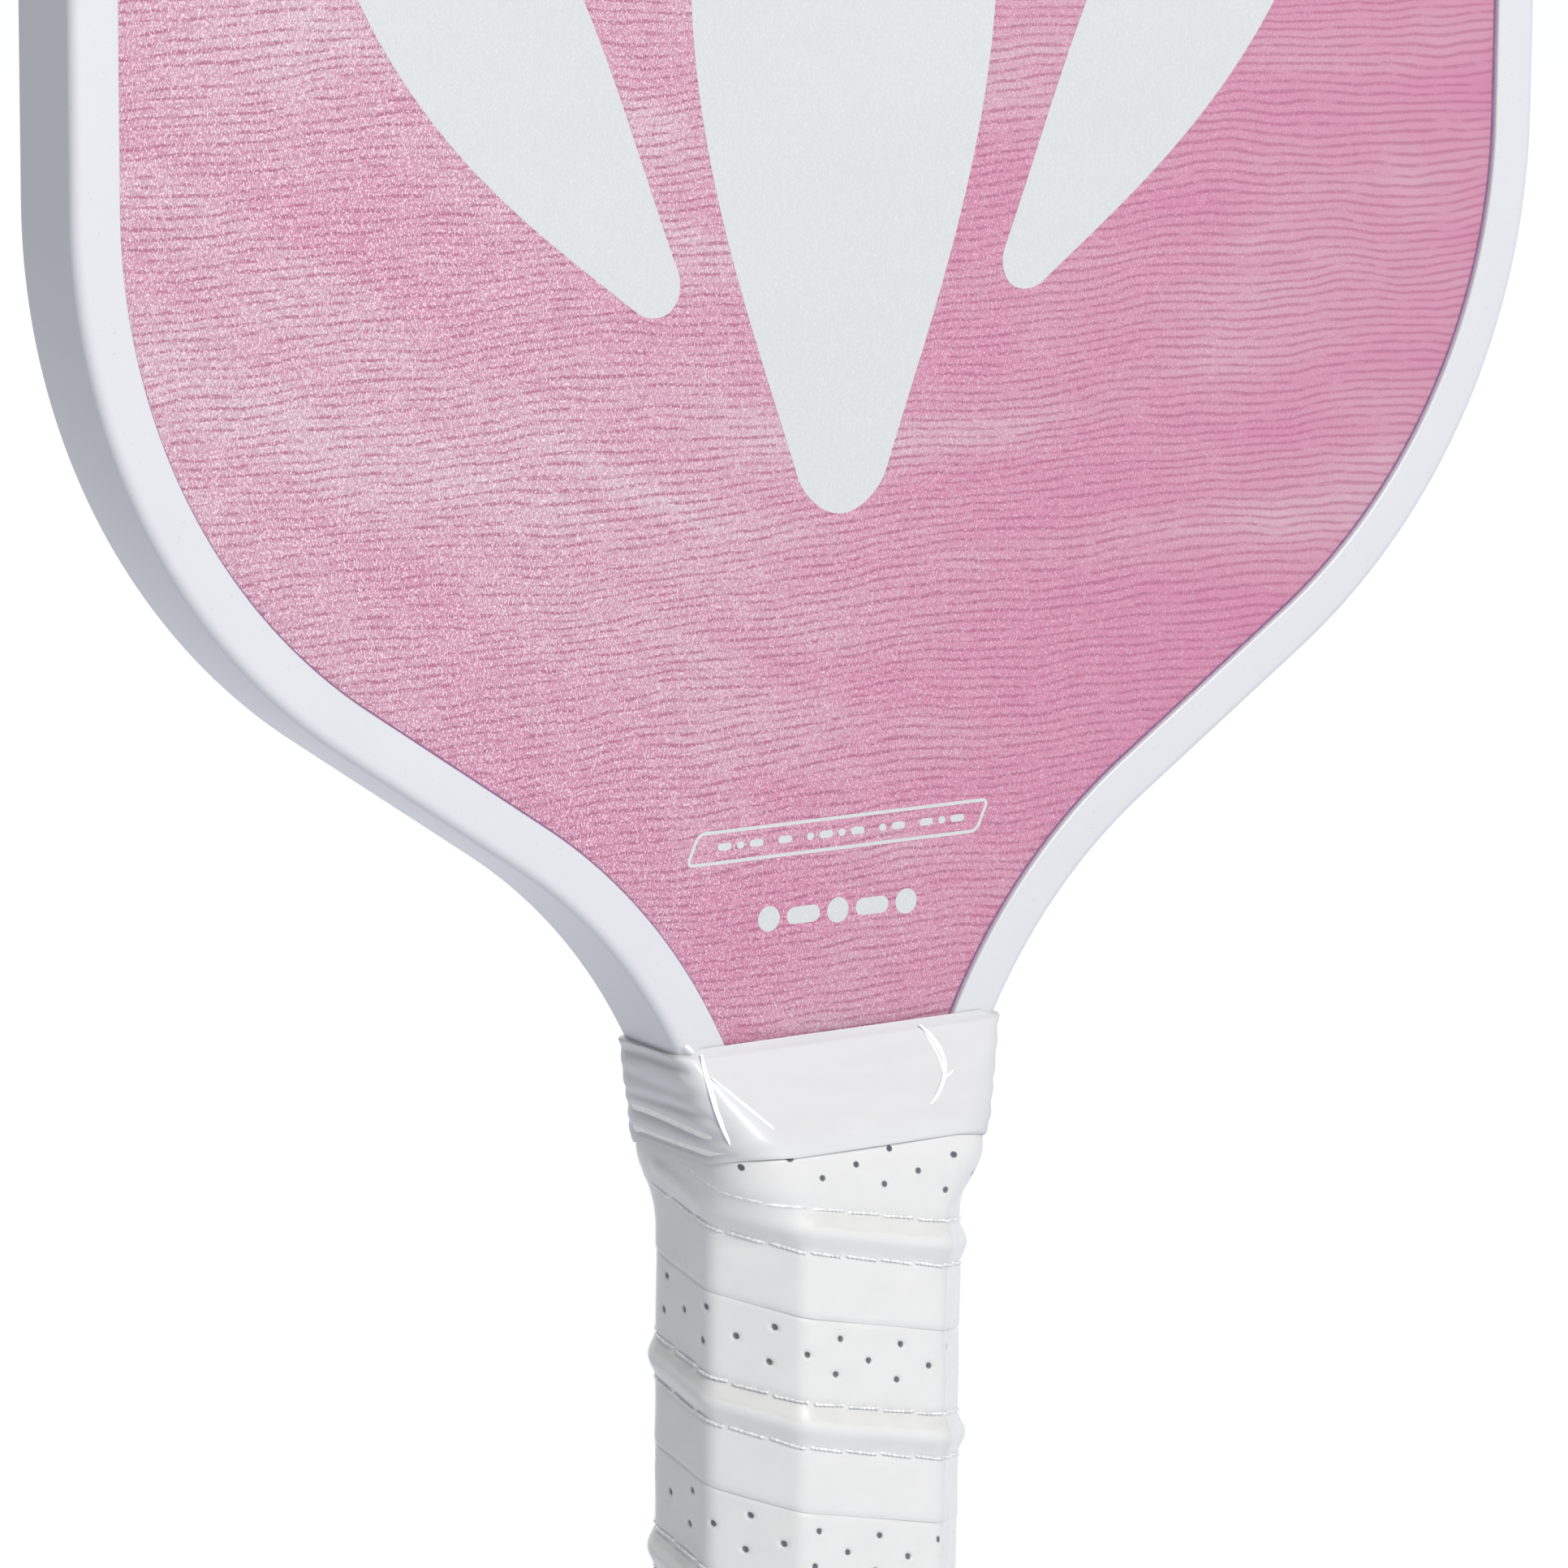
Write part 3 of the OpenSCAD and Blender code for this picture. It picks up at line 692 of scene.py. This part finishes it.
def add_stitches(material):
    """Both rows of twisted thread, each stitch dipping into the skin at its ends."""
    sides, rings, radius, twist = 8, 40, 0.18, 1.2
    turn = np.linspace(0, 2 * math.pi, sides, endpoint=False)[None, None, :]
    t = np.linspace(0, 1, rings)[None, :, None]
    rows = (
        (-1, "stitch_row_upper", "grip_stitch_upper"),
        (1, "stitch_row_lower", "grip_stitch_lower"),
    )
    for side, name, node in rows:
        across = RIB_AT + side * STITCH_AT
        first = (FRONT_EDGE_Z - across - COLLAR_BEND_Z) / WRAP_PITCH * PERIMETER
        last = (FRONT_EDGE_Z - across - SKIRT_TOP / 3) / WRAP_PITCH * PERIMETER
        starts = np.arange(first, last, STITCH_PITCH)[:, None, None]
        s = starts + t * (STITCH_PITCH - 0.1) + 0 * turn
        z = strip_z(s, across + 0.2 * side * (t - 0.5))
        lobe = radius * (1 + 0.3 * np.cos(2 * (turn - s * 2 * math.pi / twist)))
        lift = 0.15 - 0.5 * (bell(t, 0, 0.05) + bell(t, 1, 0.05))
        x, y = on_grip(s, wrap_height(s, across) + lift + lobe * np.sin(turn))
        x, y = under_collar(x, y, z)
        points = np.stack([x, y, z + lobe * np.cos(turn)], -1).reshape(-1, 3)
        tube = np.array(loft_faces(rings, sides, caps=False))
        shifts = np.arange(len(starts))[:, None, None] * rings * sides
        faces = (tube[None] + shifts).reshape(-1, 4).tolist()
        ends = [range(sides - 1, -1, -1), range((rings - 1) * sides, rings * sides)]
        faces += [[k + int(base) for k in end] for base in shifts.ravel() for end in ends]
        piece = make_mesh(name, points, faces, material, 60)
        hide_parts(node)


# ---------------------------------------------------------------- rings round the handle

RING_CORNER, RING_LONG, RING_SHORT = 24, 44, 16


def ring_frame():
    """For each point of a ring: share of the half sizes, outward normal, distance round the grip.
    The ring starts at the right side's back end and runs anticlockwise."""
    setback = 2 * GRIP_ROUND * math.tan(math.radians(HALF_CORNER))
    long_flat = 2 * (GRIP_HALF_W - GRIP_BEVEL) - setback
    short_flat = 2 * (GRIP_HALF_D - GRIP_BEVEL) - setback
    corner = GRIP_ROUND * math.pi / 2 + GRIP_BEVEL * math.sqrt(2) - setback
    distance = long_flat / 2 + corner + short_flat
    corners = np.array([(1, 1), (-1, 1), (-1, -1), (1, -1)], float)
    signs, normals, distances = [], [], []
    for quarter in range(4):
        sign, after = corners[quarter], corners[(quarter + 1) % 4]
        flat, steps = ((long_flat, RING_LONG), (short_flat, RING_SHORT))[quarter % 2]
        turn = np.linspace(quarter, quarter + 1, RING_CORNER) * math.pi / 2
        turn = np.concatenate([turn, np.full(steps, turn[-1])])
        share = np.linspace(0, 1, steps + 2)[1:-1]
        signs += [np.repeat([sign], RING_CORNER, 0), sign + (after - sign) * share[:, None]]
        normals.append(np.stack([np.cos(turn), np.sin(turn)], 1))
        distances += [np.linspace(distance, distance + corner, RING_CORNER), distance + corner + flat * share]
        distance += corner + flat
    return np.concatenate(signs), np.concatenate(normals), np.concatenate(distances)


RING_SIGN, RING_NORMAL, RING_S = ring_frame()
RING_COUNT = len(RING_S)


def ring_points(size, grow=0.0):
    """Points [x, y] of a ring of size [width, depth, corner radius], grown by a distance."""
    size = np.broadcast_to(size, (RING_COUNT, 3))
    centres = RING_SIGN * (size[:, :2] / 2 - size[:, 2:])
    return centres + RING_NORMAL * (size[:, 2:] + np.reshape(grow, (-1, 1)))


def collar_size(z):
    share = np.clip((np.asarray(z, float) - COLLAR_BEND_Z) / (COLLAR_TOP - COLLAR_BEND_Z), 0, 1)
    return COLLAR_BOTTOM + (COLLAR_RIM - COLLAR_BOTTOM) * share[..., None]


def collar_low_edge():
    """The collar's lower edge: high at the front and low at the back, a little lower to the right."""
    x, y = RING_NORMAL.T
    return COLLAR_TOP - COLLAR_EDGE_DROP - COLLAR_EDGE_RISE * y - COLLAR_EDGE_FALL * x


def collar_relief(z):
    """Bead and folds of the collar: strong on its narrow sides, faint on its flat front and back."""
    side = np.abs(RING_NORMAL[:, 0]) ** 4.5
    below = COLLAR_TOP - z
    relief = 0.05 * smooth_step(1.0, 0.4, below) * (0.3 + 0.7 * side)
    for distance, half, depth in COLLAR_FOLDS:
        wander = distance + 0.25 * np.sin(RING_S * 0.35 + distance)
        relief = relief - depth * bell(below, wander, half) * (0.05 + 0.95 * side)
    return relief - 0.45 * smooth_step(2.4, 0.0, z - collar_low_edge())


def stack_rings(rings):
    """Points of rings given as ([x, y] points, z)."""
    return np.concatenate([np.column_stack([flat, np.broadcast_to(z, RING_COUNT)]) for flat, z in rings])


def add_collar(material):
    low = collar_low_edge()
    outer, inner = [], []
    for share in np.linspace(0, 1, 72):
        z = low + (COLLAR_TOP - low) * share
        rounding = 0.15 * (1 - smooth_step(0, 0.03, share)) + 0.15 * smooth_step(0.985, 1, share)
        outer.append((ring_points(collar_size(z), collar_relief(z) - rounding), z))
    for rise in (0.8, 0.4):
        outer.append((ring_points(COLLAR_HUG), COLLAR_TOP + rise))
    for share in np.linspace(0.95, 0, 13):
        z = low + (COLLAR_TOP - low) * share
        inner.append((ring_points(collar_size(z), collar_relief(z) - COLLAR_WALL), z))
    faces = loft_faces(len(outer) + len(inner), RING_COUNT, closed=True)
    piece = make_mesh("collar_band", stack_rings(outer + inner), faces, material, 60)
    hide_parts("collar")


def add_finishing_tape(material):
    """The turn of tape that holds the wrap's upper end, hidden under the collar."""
    rings = []
    for grow, rises in ((-0.45, (1.0, 3.5, 6.0)), (-0.7, (6.0, 3.5, 1.0))):
        for rise in rises:
            z = collar_low_edge() + rise
            rings.append((ring_points(collar_size(z), grow), z))
    faces = loft_faces(len(rings), RING_COUNT, closed=True)
    piece = make_mesh("finishing_tape_turn", stack_rings(rings), faces, material)
    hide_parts("finishing_tape")


def film_ring(z, extra=0.0):
    """The shrink film at one height: tight over the cap, the ribs, the collar and its rim."""
    v = WRAP_PITCH * np.mod((FRONT_EDGE_Z - z) / WRAP_PITCH - RING_S / PERIMETER, 1)
    rib = (RIB_H + 0.03) * bell(v, RIB_AT, 2.1) * smooth_step(CAP_TOP + 2, CAP_TOP + 5, z)
    cap = CAP_FLARE * (1 - smooth_step(CAP_TOP, CAP_TOP + 2, z))
    wrinkles = 0.015 * np.sin(RING_S * 1.9) * np.sin(RING_S * 0.37 + z * 0.05)
    height = FILM_LIFT + np.maximum(rib, cap) + strip_waves(RING_S, v) + wrinkles + extra
    x, y = on_grip(RING_S, height)
    below = np.stack(under_collar(x, y, z, 0.8, 0), 1)
    flare = max(0.0, z - COLLAR_TOP) / (SLEEVE_TOP - COLLAR_TOP)
    over = FILM_LIFT + collar_relief(min(z, COLLAR_TOP)) + extra
    above = ring_points(collar_size(z) + np.array([1.0, 0, 0]) * flare, over)
    edge = collar_low_edge()
    share = smooth_step(edge - 1.3, edge + 0.4, z)[:, None]
    return below * (1 - share) + above * share


def add_film(material):
    low = node_box("film_sleeve")[0][2]
    levels = np.linspace(low, SLEEVE_TOP, 190)
    rings = [(film_ring(z), z) for z in levels]
    rings += [(film_ring(z, -FILM_T), z) for z in levels[::-1]]
    faces = loft_faces(len(rings), RING_COUNT, closed=True)
    piece = make_mesh("shrink_film", stack_rings(rings), faces, material, 60)
    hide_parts("film_sleeve")


def film_front(x, z):
    """Depth of the film's front surface at a place on it."""
    ring = film_ring(z)
    front = RING_NORMAL[:, 1] < -0.05
    order = np.argsort(ring[front][:, 0])
    return float(np.interp(x, ring[front][order, 0], ring[front][order, 1]))


# Creases of the film over the collar, as bowed lines; their near-white colour is a painted highlight. Each
# has a start and an end as [share of the rim's half width, share of the collar's height below its top], then
# its sideways bow and its widest half width in millimetres.
CREASES = (
    ((-0.97, -0.15), (-0.92, -0.05), -0.2, 0.18),
    ((-0.88, -0.03), (-0.80, 0.70), -0.5, 0.34),
    ((-0.86, 0.15), (-0.58, 0.60), 0.0, 0.18),
    ((0.45, -0.02), (0.35, 0.60), 3.0, 0.30),
    ((0.47, 0.05), (0.50, 0.40), 0.5, 0.17),
    ((0.50, 0.40), (0.57, 0.35), 0.0, 0.15),
)
CREASE_H = 0.12
CREASE_SINK = 0.03


def add_creases(material):
    """Narrow tapered folds that stand up from the film, painted near white as highlights."""
    sides, stations, smoothing = 10, 37, 13
    points, faces = [], []
    share = np.linspace(0, 1, stations)
    taper = np.sqrt(np.sin(np.linspace(0.04, 0.96, stations) * math.pi))
    size = np.array([COLLAR_RIM[0] / 2, COLLAR_LOW - COLLAR_TOP])
    for start, end, bow, half in CREASES:
        start, end = np.array(start) * size, np.array(end) * size
        x, z = start[:, None] + (end - start)[:, None] * share
        x, z = x + 4 * bow * share * (1 - share), z + COLLAR_TOP
        z = np.minimum(z, SLEEVE_TOP)
        across = np.gradient(np.stack([x, z], 1), axis=0)
        across = np.stack([-across[:, 1], across[:, 0]], 1) / np.linalg.norm(across, axis=1)[:, None]
        base = len(points)
        depths = np.array([film_front(*place) for place in zip(x, z)])
        depths = np.pad(depths, smoothing // 2, "edge")
        depths = np.convolve(depths, np.ones(smoothing) / smoothing, "valid")
        for i, depth in enumerate(depths):
            for turn in np.linspace(0, 2 * math.pi, sides, endpoint=False):
                side = across[i] * half * taper[i] * math.cos(turn)
                y = depth - CREASE_H * taper[i] * math.sin(turn) + CREASE_SINK
                points.append((x[i] + side[0], y, z[i] + side[1]))
        faces += [tuple(base + k for k in face) for face in loft_faces(stations, sides)]
    make_mesh("painted_crease_highlights", points, faces, material, 80)


# ---------------------------------------------------------------- printed marks

INK_T = 0.025
# The frame of dashes and the bold row below it. Heights are above the collar's top.
FRAME_Z = 24.0
FRAME_HALF_W = 19.4
FRAME_HALF_H = 1.0
FRAME_ROUND = 0.8
FRAME_LEAN = 0.45
DASH_LEFT = -16.8
DASH_GROUPS = (3, 1, 4, 2, 3)
BOLD_Z = 14.85
BOLD_LEFT = -9.7
BOLD_PITCH = 4.8


def ribbon(spine, half_width, closed=False):
    """Flat closed strip round a spine [x, z]: points on the front face, and faces."""
    spine = np.asarray(spine, float)
    if closed:
        along = np.roll(spine, -1, 0) - np.roll(spine, 1, 0)
    else:
        along = np.gradient(spine, axis=0)
    side = np.stack([-along[:, 1], along[:, 0]], 1) / np.linalg.norm(along, axis=1)[:, None]
    side = side * np.reshape(half_width, (-1, 1))
    inner, outer = -(PANEL_HALF - INK_T), -(PANEL_HALF + INK_T)
    left, right = spine + side, spine - side
    rings = np.stack([
        np.column_stack([edge[:, 0], np.full(len(edge), depth), edge[:, 1] + COLLAR_TOP])
        for edge, depth in ((left, inner), (right, inner), (right, outer), (left, outer))
    ], 1)
    return rings.reshape(-1, 3), loft_faces(len(spine), 4, closed=closed)


def petal(tip, lean, length, half):
    """A drop with a small round lower end that widens to a broad round upper end."""
    t = 0.5 - 0.5 * np.cos(np.linspace(0, math.pi, 81))
    along = t * length
    direction = np.array([math.sin(lean), math.cos(lean)])
    bend = np.array([direction[1], -direction[0]]) * (0.06 * length * math.sin(lean))
    spine = np.array(tip) + np.outer(along, direction) + np.outer(np.sin(t * math.pi), bend)
    widest = 0.58 * length
    tip_r = 0.22 * half
    rising = tip_r + (half - tip_r) * np.sin(math.pi / 2 * np.clip(along / widest, 0, 1)) ** 1.1
    cap = np.sqrt(1 - (1 - np.clip(along / tip_r, 0, 1)) ** 2)
    falling = np.sqrt(np.maximum(1 - (np.clip(along - widest, 0, None) / (length - widest)) ** 2, 0))
    return ribbon(spine, rising * cap * falling + 0.02)


def capsule(centre, half_length, half_height):
    t = np.linspace(-1, 1, 25)
    x = half_length * np.sin(t * math.pi / 2)
    core = half_length - half_height
    height = np.sqrt(np.maximum(half_height**2 - np.maximum(np.abs(x) - core, 0) ** 2, 0))
    spine = np.stack([centre[0] + x, np.full(len(x), centre[1])], 1)
    return ribbon(spine, height + 0.01)


def slanted_frame():
    """Rounded box outline that leans to the right."""
    points = []
    for side, rise, start in ((1, 1, 0), (-1, 1, 1), (-1, -1, 2), (1, -1, 3)):
        for turn in np.linspace(start, start + 1, 9) * math.pi / 2:
            height = rise * FRAME_HALF_H + FRAME_ROUND * math.sin(turn)
            x = side * FRAME_HALF_W + FRAME_ROUND * math.cos(turn)
            points.append((x + FRAME_LEAN * height, FRAME_Z + height))
    return ribbon(points, 0.2, closed=True)


def printed_shapes():
    """The generic marks of one face: a fan of drops, a framed row of dashes and a bold row."""
    shapes = [petal((0, 61.5), 0, 112, 21)]
    for side in (-1, 1):
        shapes.append(petal((side * 23.5, 86.5), side * math.radians(32), 84, 12.5))
        shapes.append(petal((side * 27, 158.0), side * math.radians(20), 58, 8.5))
    shapes.append(slanted_frame())
    dash, dot, gap, group_gap = 0.95, 0.5, 0.75, 1.3
    x = DASH_LEFT
    for count in DASH_GROUPS:
        for k in range(count):
            half = dash if (k + count) % 2 else dot
            shapes.append(capsule((x + half, FRAME_Z), half, 0.42))
            x += 2 * half + gap
        x += group_gap
    for k in range(5):
        half, height = ((1.5, 1.49), (2.3, 1.0))[k % 2]
        shapes.append(capsule((BOLD_LEFT + BOLD_PITCH * k, BOLD_Z), half, height))
    return shapes


def add_marks(material):
    for name, turn in (("marks_front", 1), ("marks_back", -1)):
        points, faces = [], []
        for shape, shape_faces in printed_shapes():
            base = len(points)
            points += (shape * [turn, turn, 1]).tolist()
            faces += [tuple(base + k for k in face) for face in shape_faces]
        make_mesh(name, points, faces, material, 30)


def add_glue_line(material):
    """Dark purple line in the corner between the guard's lip and the face: a painted shadow."""
    path = head_outline(GUARD_LIP + 0.12) - [0, COLLAR_TOP]
    front, faces = ribbon(path, 0.16)
    points = np.concatenate([front, front * [1, -1, 1]])
    faces = faces + [tuple(k + len(front) for k in face) for face in faces]
    make_mesh("guard_painted_lip_shadow", points, faces, material, 30)


# ---------------------------------------------------------------- butt


def octagon_stack(rings):
    """Closed loft of rounded octagons given as (growth, corner radius, z)."""
    loops = [np.column_stack([loop, np.full(len(loop), z)]) for loop, z in
             ((octagon_loop(grow, max(radius, 0.3)), z) for grow, radius, z in rings)]
    return np.concatenate(loops), len(loops[0])


def add_cap(cap, inlay):
    """Butt cap with its skirt, and the inlay in its underside."""
    edge = [
        (CAP_FLARE - CAP_ROUND * (1 - math.sin(t)), z + CAP_ROUND * (1 - math.cos(t)) * sign)
        for z, sign in ((0, 1), (CAP_TOP, -1))
        for t in np.linspace(0, math.pi / 2, 7)[::sign]
    ]
    outside = [(grow, GRIP_ROUND + grow, z) for grow, z in edge]
    inset = -BLOCK_INSET
    skirt = [
        (inset, 1.5, CAP_TOP), (inset, 1.5, SKIRT_TOP),
        (inset - SKIRT_T, 1.0, SKIRT_TOP), (inset - SKIRT_T, 1.0, CAP_TOP),
    ]
    recess, chamfer, gap = inset - INLAY_INSET, 0.15, 0.1
    rings = [(recess, 1.0, INLAY_DEPTH), (recess, 1.0, chamfer), (recess + chamfer, 1.1, 0.0)]
    rings += outside + skirt
    points, count = octagon_stack(rings)
    faces = loft_faces(len(rings), count)
    make = make_mesh("butt_cap_moulding", points, faces, cap, 40)
    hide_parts("butt_cap")
    rings = [
        (recess - gap, 0.9, INLAY_DEPTH - gap),
        (recess - gap, 0.9, 0.25),
        (recess - gap - 0.2, 0.8, 0.1),
    ]
    points, count = octagon_stack(rings)
    disc = make_mesh("butt_inlay_disc", points, loft_faces(len(rings), count), inlay, 40)
    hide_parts("butt_inlay")


# ---------------------------------------------------------------- frame nodes kept as they are

TAPE_LOOK = ((0.60, 0.60, 0.58), (0.70, 0.70, 0.68), 0.9, 0.6, 0.03)


def dress_inner_nodes(prints):
    """Materials for the frame's own nodes, most of them inside the paddle."""
    looks = {
        "core": plain_material("core_polymer", (0.62, 0.63, 0.64), (0.72, 0.73, 0.74), 0.8, 0.5, 0.05),
        "adhesive": plain_material("cured_adhesive", (0.52, 0.47, 0.33), (0.62, 0.57, 0.43), 0.5, 0.35, 0.05),
        "fibreglass": plain_material("fibreglass", (0.42, 0.46, 0.42), (0.56, 0.60, 0.55), 1.4, 0.4, 0.04),
        "tape": plain_material("bond_tape", *TAPE_LOOK),
        "block": plain_material("handle_foam", (0.40, 0.38, 0.34), (0.52, 0.50, 0.45), 1.1, 0.8, 0.08),
        "felt": plain_material("grip_felt", (0.50, 0.50, 0.50), (0.66, 0.66, 0.66), 2.0, 0.9, 0.10),
        "cord": plain_material("rib_cord", (0.55, 0.55, 0.54), (0.70, 0.70, 0.69), 1.5, 0.7, 0.08),
        "print": prints,
    }
    kinds = {
        "honeycomb_core": "core", "edge_bond_tape": "tape", "grip_adhesive_strip": "tape",
        "grip_felt_strip": "felt", "grip_rib_cord": "cord",
    }
    pairs = {
        "core_adhesive": "adhesive", "face_sheet": "fibreglass", "print_layer": "print",
        "handle_glue": "adhesive", "handle_block": "block",
    }
    for side in ("front", "back"):
        kinds.update({f"{node}_{side}": kind for node, kind in pairs.items()})
    for node, kind in kinds.items():
        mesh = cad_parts[node].data
        mesh.materials.clear()
        mesh.materials.append(looks[kind])


# ---------------------------------------------------------------- surroundings

LAMP_TINT = (1.0, 0.985, 0.965)
FLOOR_HALF = 20.0
FLOOR_GLOW = 0.97
FLOOR_TINT = (1.0, 1.03, 1.1)
FLOOR_SHADE = 0.05
SKY_BAND = 1.28
SKY_BAND_FADE = (0.07, 0.12)
SKY_LEFT = 0.0
SKY_RIGHT = 0.36
SKY_ZENITH = 0.4
# Name, azimuth and elevation in degrees, distance and size in metres, power in watts.
LAMPS = (
    ("key", -4, 35, 1.7, (0.6, 0.9), 37.6),
    ("back_key", 172, 38, 1.9, (0.9, 0.9), 34),
)


def add_floor():
    n = Nodes("studio_floor")
    tone = n.noise(n.place(0.004), 2, 0.5)
    shader = n.add("ShaderNodeBsdfPrincipled")
    shade = n.ramp(tone, [(0.0, FLOOR_SHADE - 0.004), (1.0, FLOOR_SHADE + 0.004)])
    n.link(shade, shader.inputs["Base Color"])
    shader.inputs["Roughness"].default_value = 1.0
    shader.inputs["Specular IOR Level"].default_value = 0.0
    shader.inputs["Emission Color"].default_value = (*FLOOR_TINT, 1)
    shader.inputs["Emission Strength"].default_value = FLOOR_GLOW
    n.link(shader.outputs[0], n.output.inputs["Surface"])
    mesh = bpy.data.meshes.new("floor")
    corners = [(x * FLOOR_HALF, y * FLOOR_HALF, -0.0005) for x, y in ((-1, -1), (1, -1), (1, 1), (-1, 1))]
    mesh.from_pydata(corners, [], [(0, 1, 2, 3)])
    mesh.materials.append(n.material)
    floor = bpy.data.objects.new("floor", mesh)
    bpy.context.scene.collection.objects.link(floor)


def add_world():
    """A pale band at the horizon under a dim sky that is a little brighter to the right."""
    world = bpy.data.worlds.new("studio")
    bpy.context.scene.world = world
    world.use_nodes = True
    tree = world.node_tree
    tree.nodes.clear()

    def node(kind, **settings):
        made = tree.nodes.new(kind)
        for key, value in settings.items():
            setattr(made, key, value)
        return made

    def spread(value, low, high, to_low, to_high):
        made = node("ShaderNodeMapRange")
        limits = {"From Min": low, "From Max": high, "To Min": to_low, "To Max": to_high}
        for key, limit in limits.items():
            made.inputs[key].default_value = limit
        link(value, made.inputs["Value"])
        return made.outputs[0]

    link = tree.links.new
    split = node("ShaderNodeSeparateXYZ")
    link(node("ShaderNodeTexCoord").outputs["Generated"], split.inputs[0])
    side = spread(split.outputs[0], -1, 1, SKY_LEFT, SKY_RIGHT)
    high = node("ShaderNodeMath", operation="ABSOLUTE")
    link(split.outputs[2], high.inputs[0])
    mix = node("ShaderNodeMix", data_type="FLOAT")
    link(spread(high.outputs[0], *SKY_BAND_FADE, 0, 1), mix.inputs["Factor"])
    mix.inputs["A"].default_value = SKY_BAND
    background = node("ShaderNodeBackground")
    link(mix.outputs[0], background.inputs["Strength"])
    overhead = node("ShaderNodeMath", operation="MULTIPLY", use_clamp=True)
    link(split.outputs[2], overhead.inputs[0])
    overhead.inputs[1].default_value = SKY_ZENITH
    total = node("ShaderNodeMath", operation="ADD")
    link(side, total.inputs[0])
    link(overhead.outputs[0], total.inputs[1])
    link(total.outputs[0], mix.inputs["B"])
    output = node("ShaderNodeOutputWorld")
    link(background.outputs[0], output.inputs["Surface"])


def add_light(name, azimuth, elevation, distance, size, power):
    """Soft panel aimed at the collar. Azimuth 0 is in front of the face, 90 to its right."""
    turn, rise = math.radians(azimuth), math.radians(elevation)
    away = Vector((math.sin(turn) * math.cos(rise), -math.cos(turn) * math.cos(rise), math.sin(rise)))
    lamp = bpy.data.lights.new(name, "AREA")
    lamp.shape = "RECTANGLE"
    lamp.size, lamp.size_y = size
    lamp.energy = power
    lamp.color = LAMP_TINT
    item = bpy.data.objects.new(name, lamp)
    item.location = Vector((0, 0, COLLAR_TOP * MM)) + away * distance
    item.rotation_mode = "QUATERNION"
    item.rotation_quaternion = (-away).to_track_quat("-Z", "Y")
    item.visible_camera = False
    bpy.context.scene.collection.objects.link(item)


# Place in millimetres from the middle of the collar's top, direction, and lens in millimetres.
CAMERA_FROM_COLLAR_TOP = (-498.5, -748.1, 204.0)
CAMERA_YAW = math.radians(33.47)
CAMERA_PITCH = math.radians(11.03)
CAMERA_ROLL = math.radians(0.38)
CAMERA_LENS = 180.4


def add_camera():
    camera = bpy.data.objects.new("camera", bpy.data.cameras.new("camera"))
    bpy.context.scene.collection.objects.link(camera)
    camera.data.lens = CAMERA_LENS
    camera.data.sensor_width = 36
    camera.data.clip_start, camera.data.clip_end = 0.05, 100
    place = Vector(CAMERA_FROM_COLLAR_TOP) + Vector((0, 0, COLLAR_TOP))
    level = math.cos(CAMERA_PITCH)
    look = Vector((math.sin(CAMERA_YAW) * level, math.cos(CAMERA_YAW) * level, -math.sin(CAMERA_PITCH)))
    camera.location = place * MM
    camera.rotation_mode = "QUATERNION"
    aim = look.to_track_quat("-Z", "Y").to_matrix()
    camera.rotation_quaternion = (aim @ Matrix.Rotation(CAMERA_ROLL, 3, "Z")).to_quaternion()
    bpy.context.scene.camera = camera


def write_sizes():
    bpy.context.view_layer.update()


def build():
    prints = print_material()
    dress_inner_nodes(prints)
    add_guard(guard_material())
    add_marks(ink_material())
    # Painted shadow: a dark purple line at the foot of the guard's lip.
    add_glue_line(plain_material("painted_lip_shadow", (0.13, 0.06, 0.15), (0.20, 0.09, 0.20), 1.5, 0.4, 0.02))
    add_collar(collar_material())
    add_finishing_tape(plain_material("finishing_tape", *TAPE_LOOK))
    add_wrap(skin_material())
    add_stitches(thread_material())
    add_film(film_material())
    add_creases(fold_material())
    cap = cap_material()
    inlay = plain_material("inlay_plastic", (0.55, 0.27, 0.38), (0.60, 0.32, 0.43), 0.6, 0.35, 0.02)
    add_cap(cap, inlay)
    add_floor()
    add_world()
    for lamp in LAMPS:
        add_light(*lamp)
    add_camera()
    bpy.context.scene.view_settings.view_transform = "Standard"


build()
write_sizes()
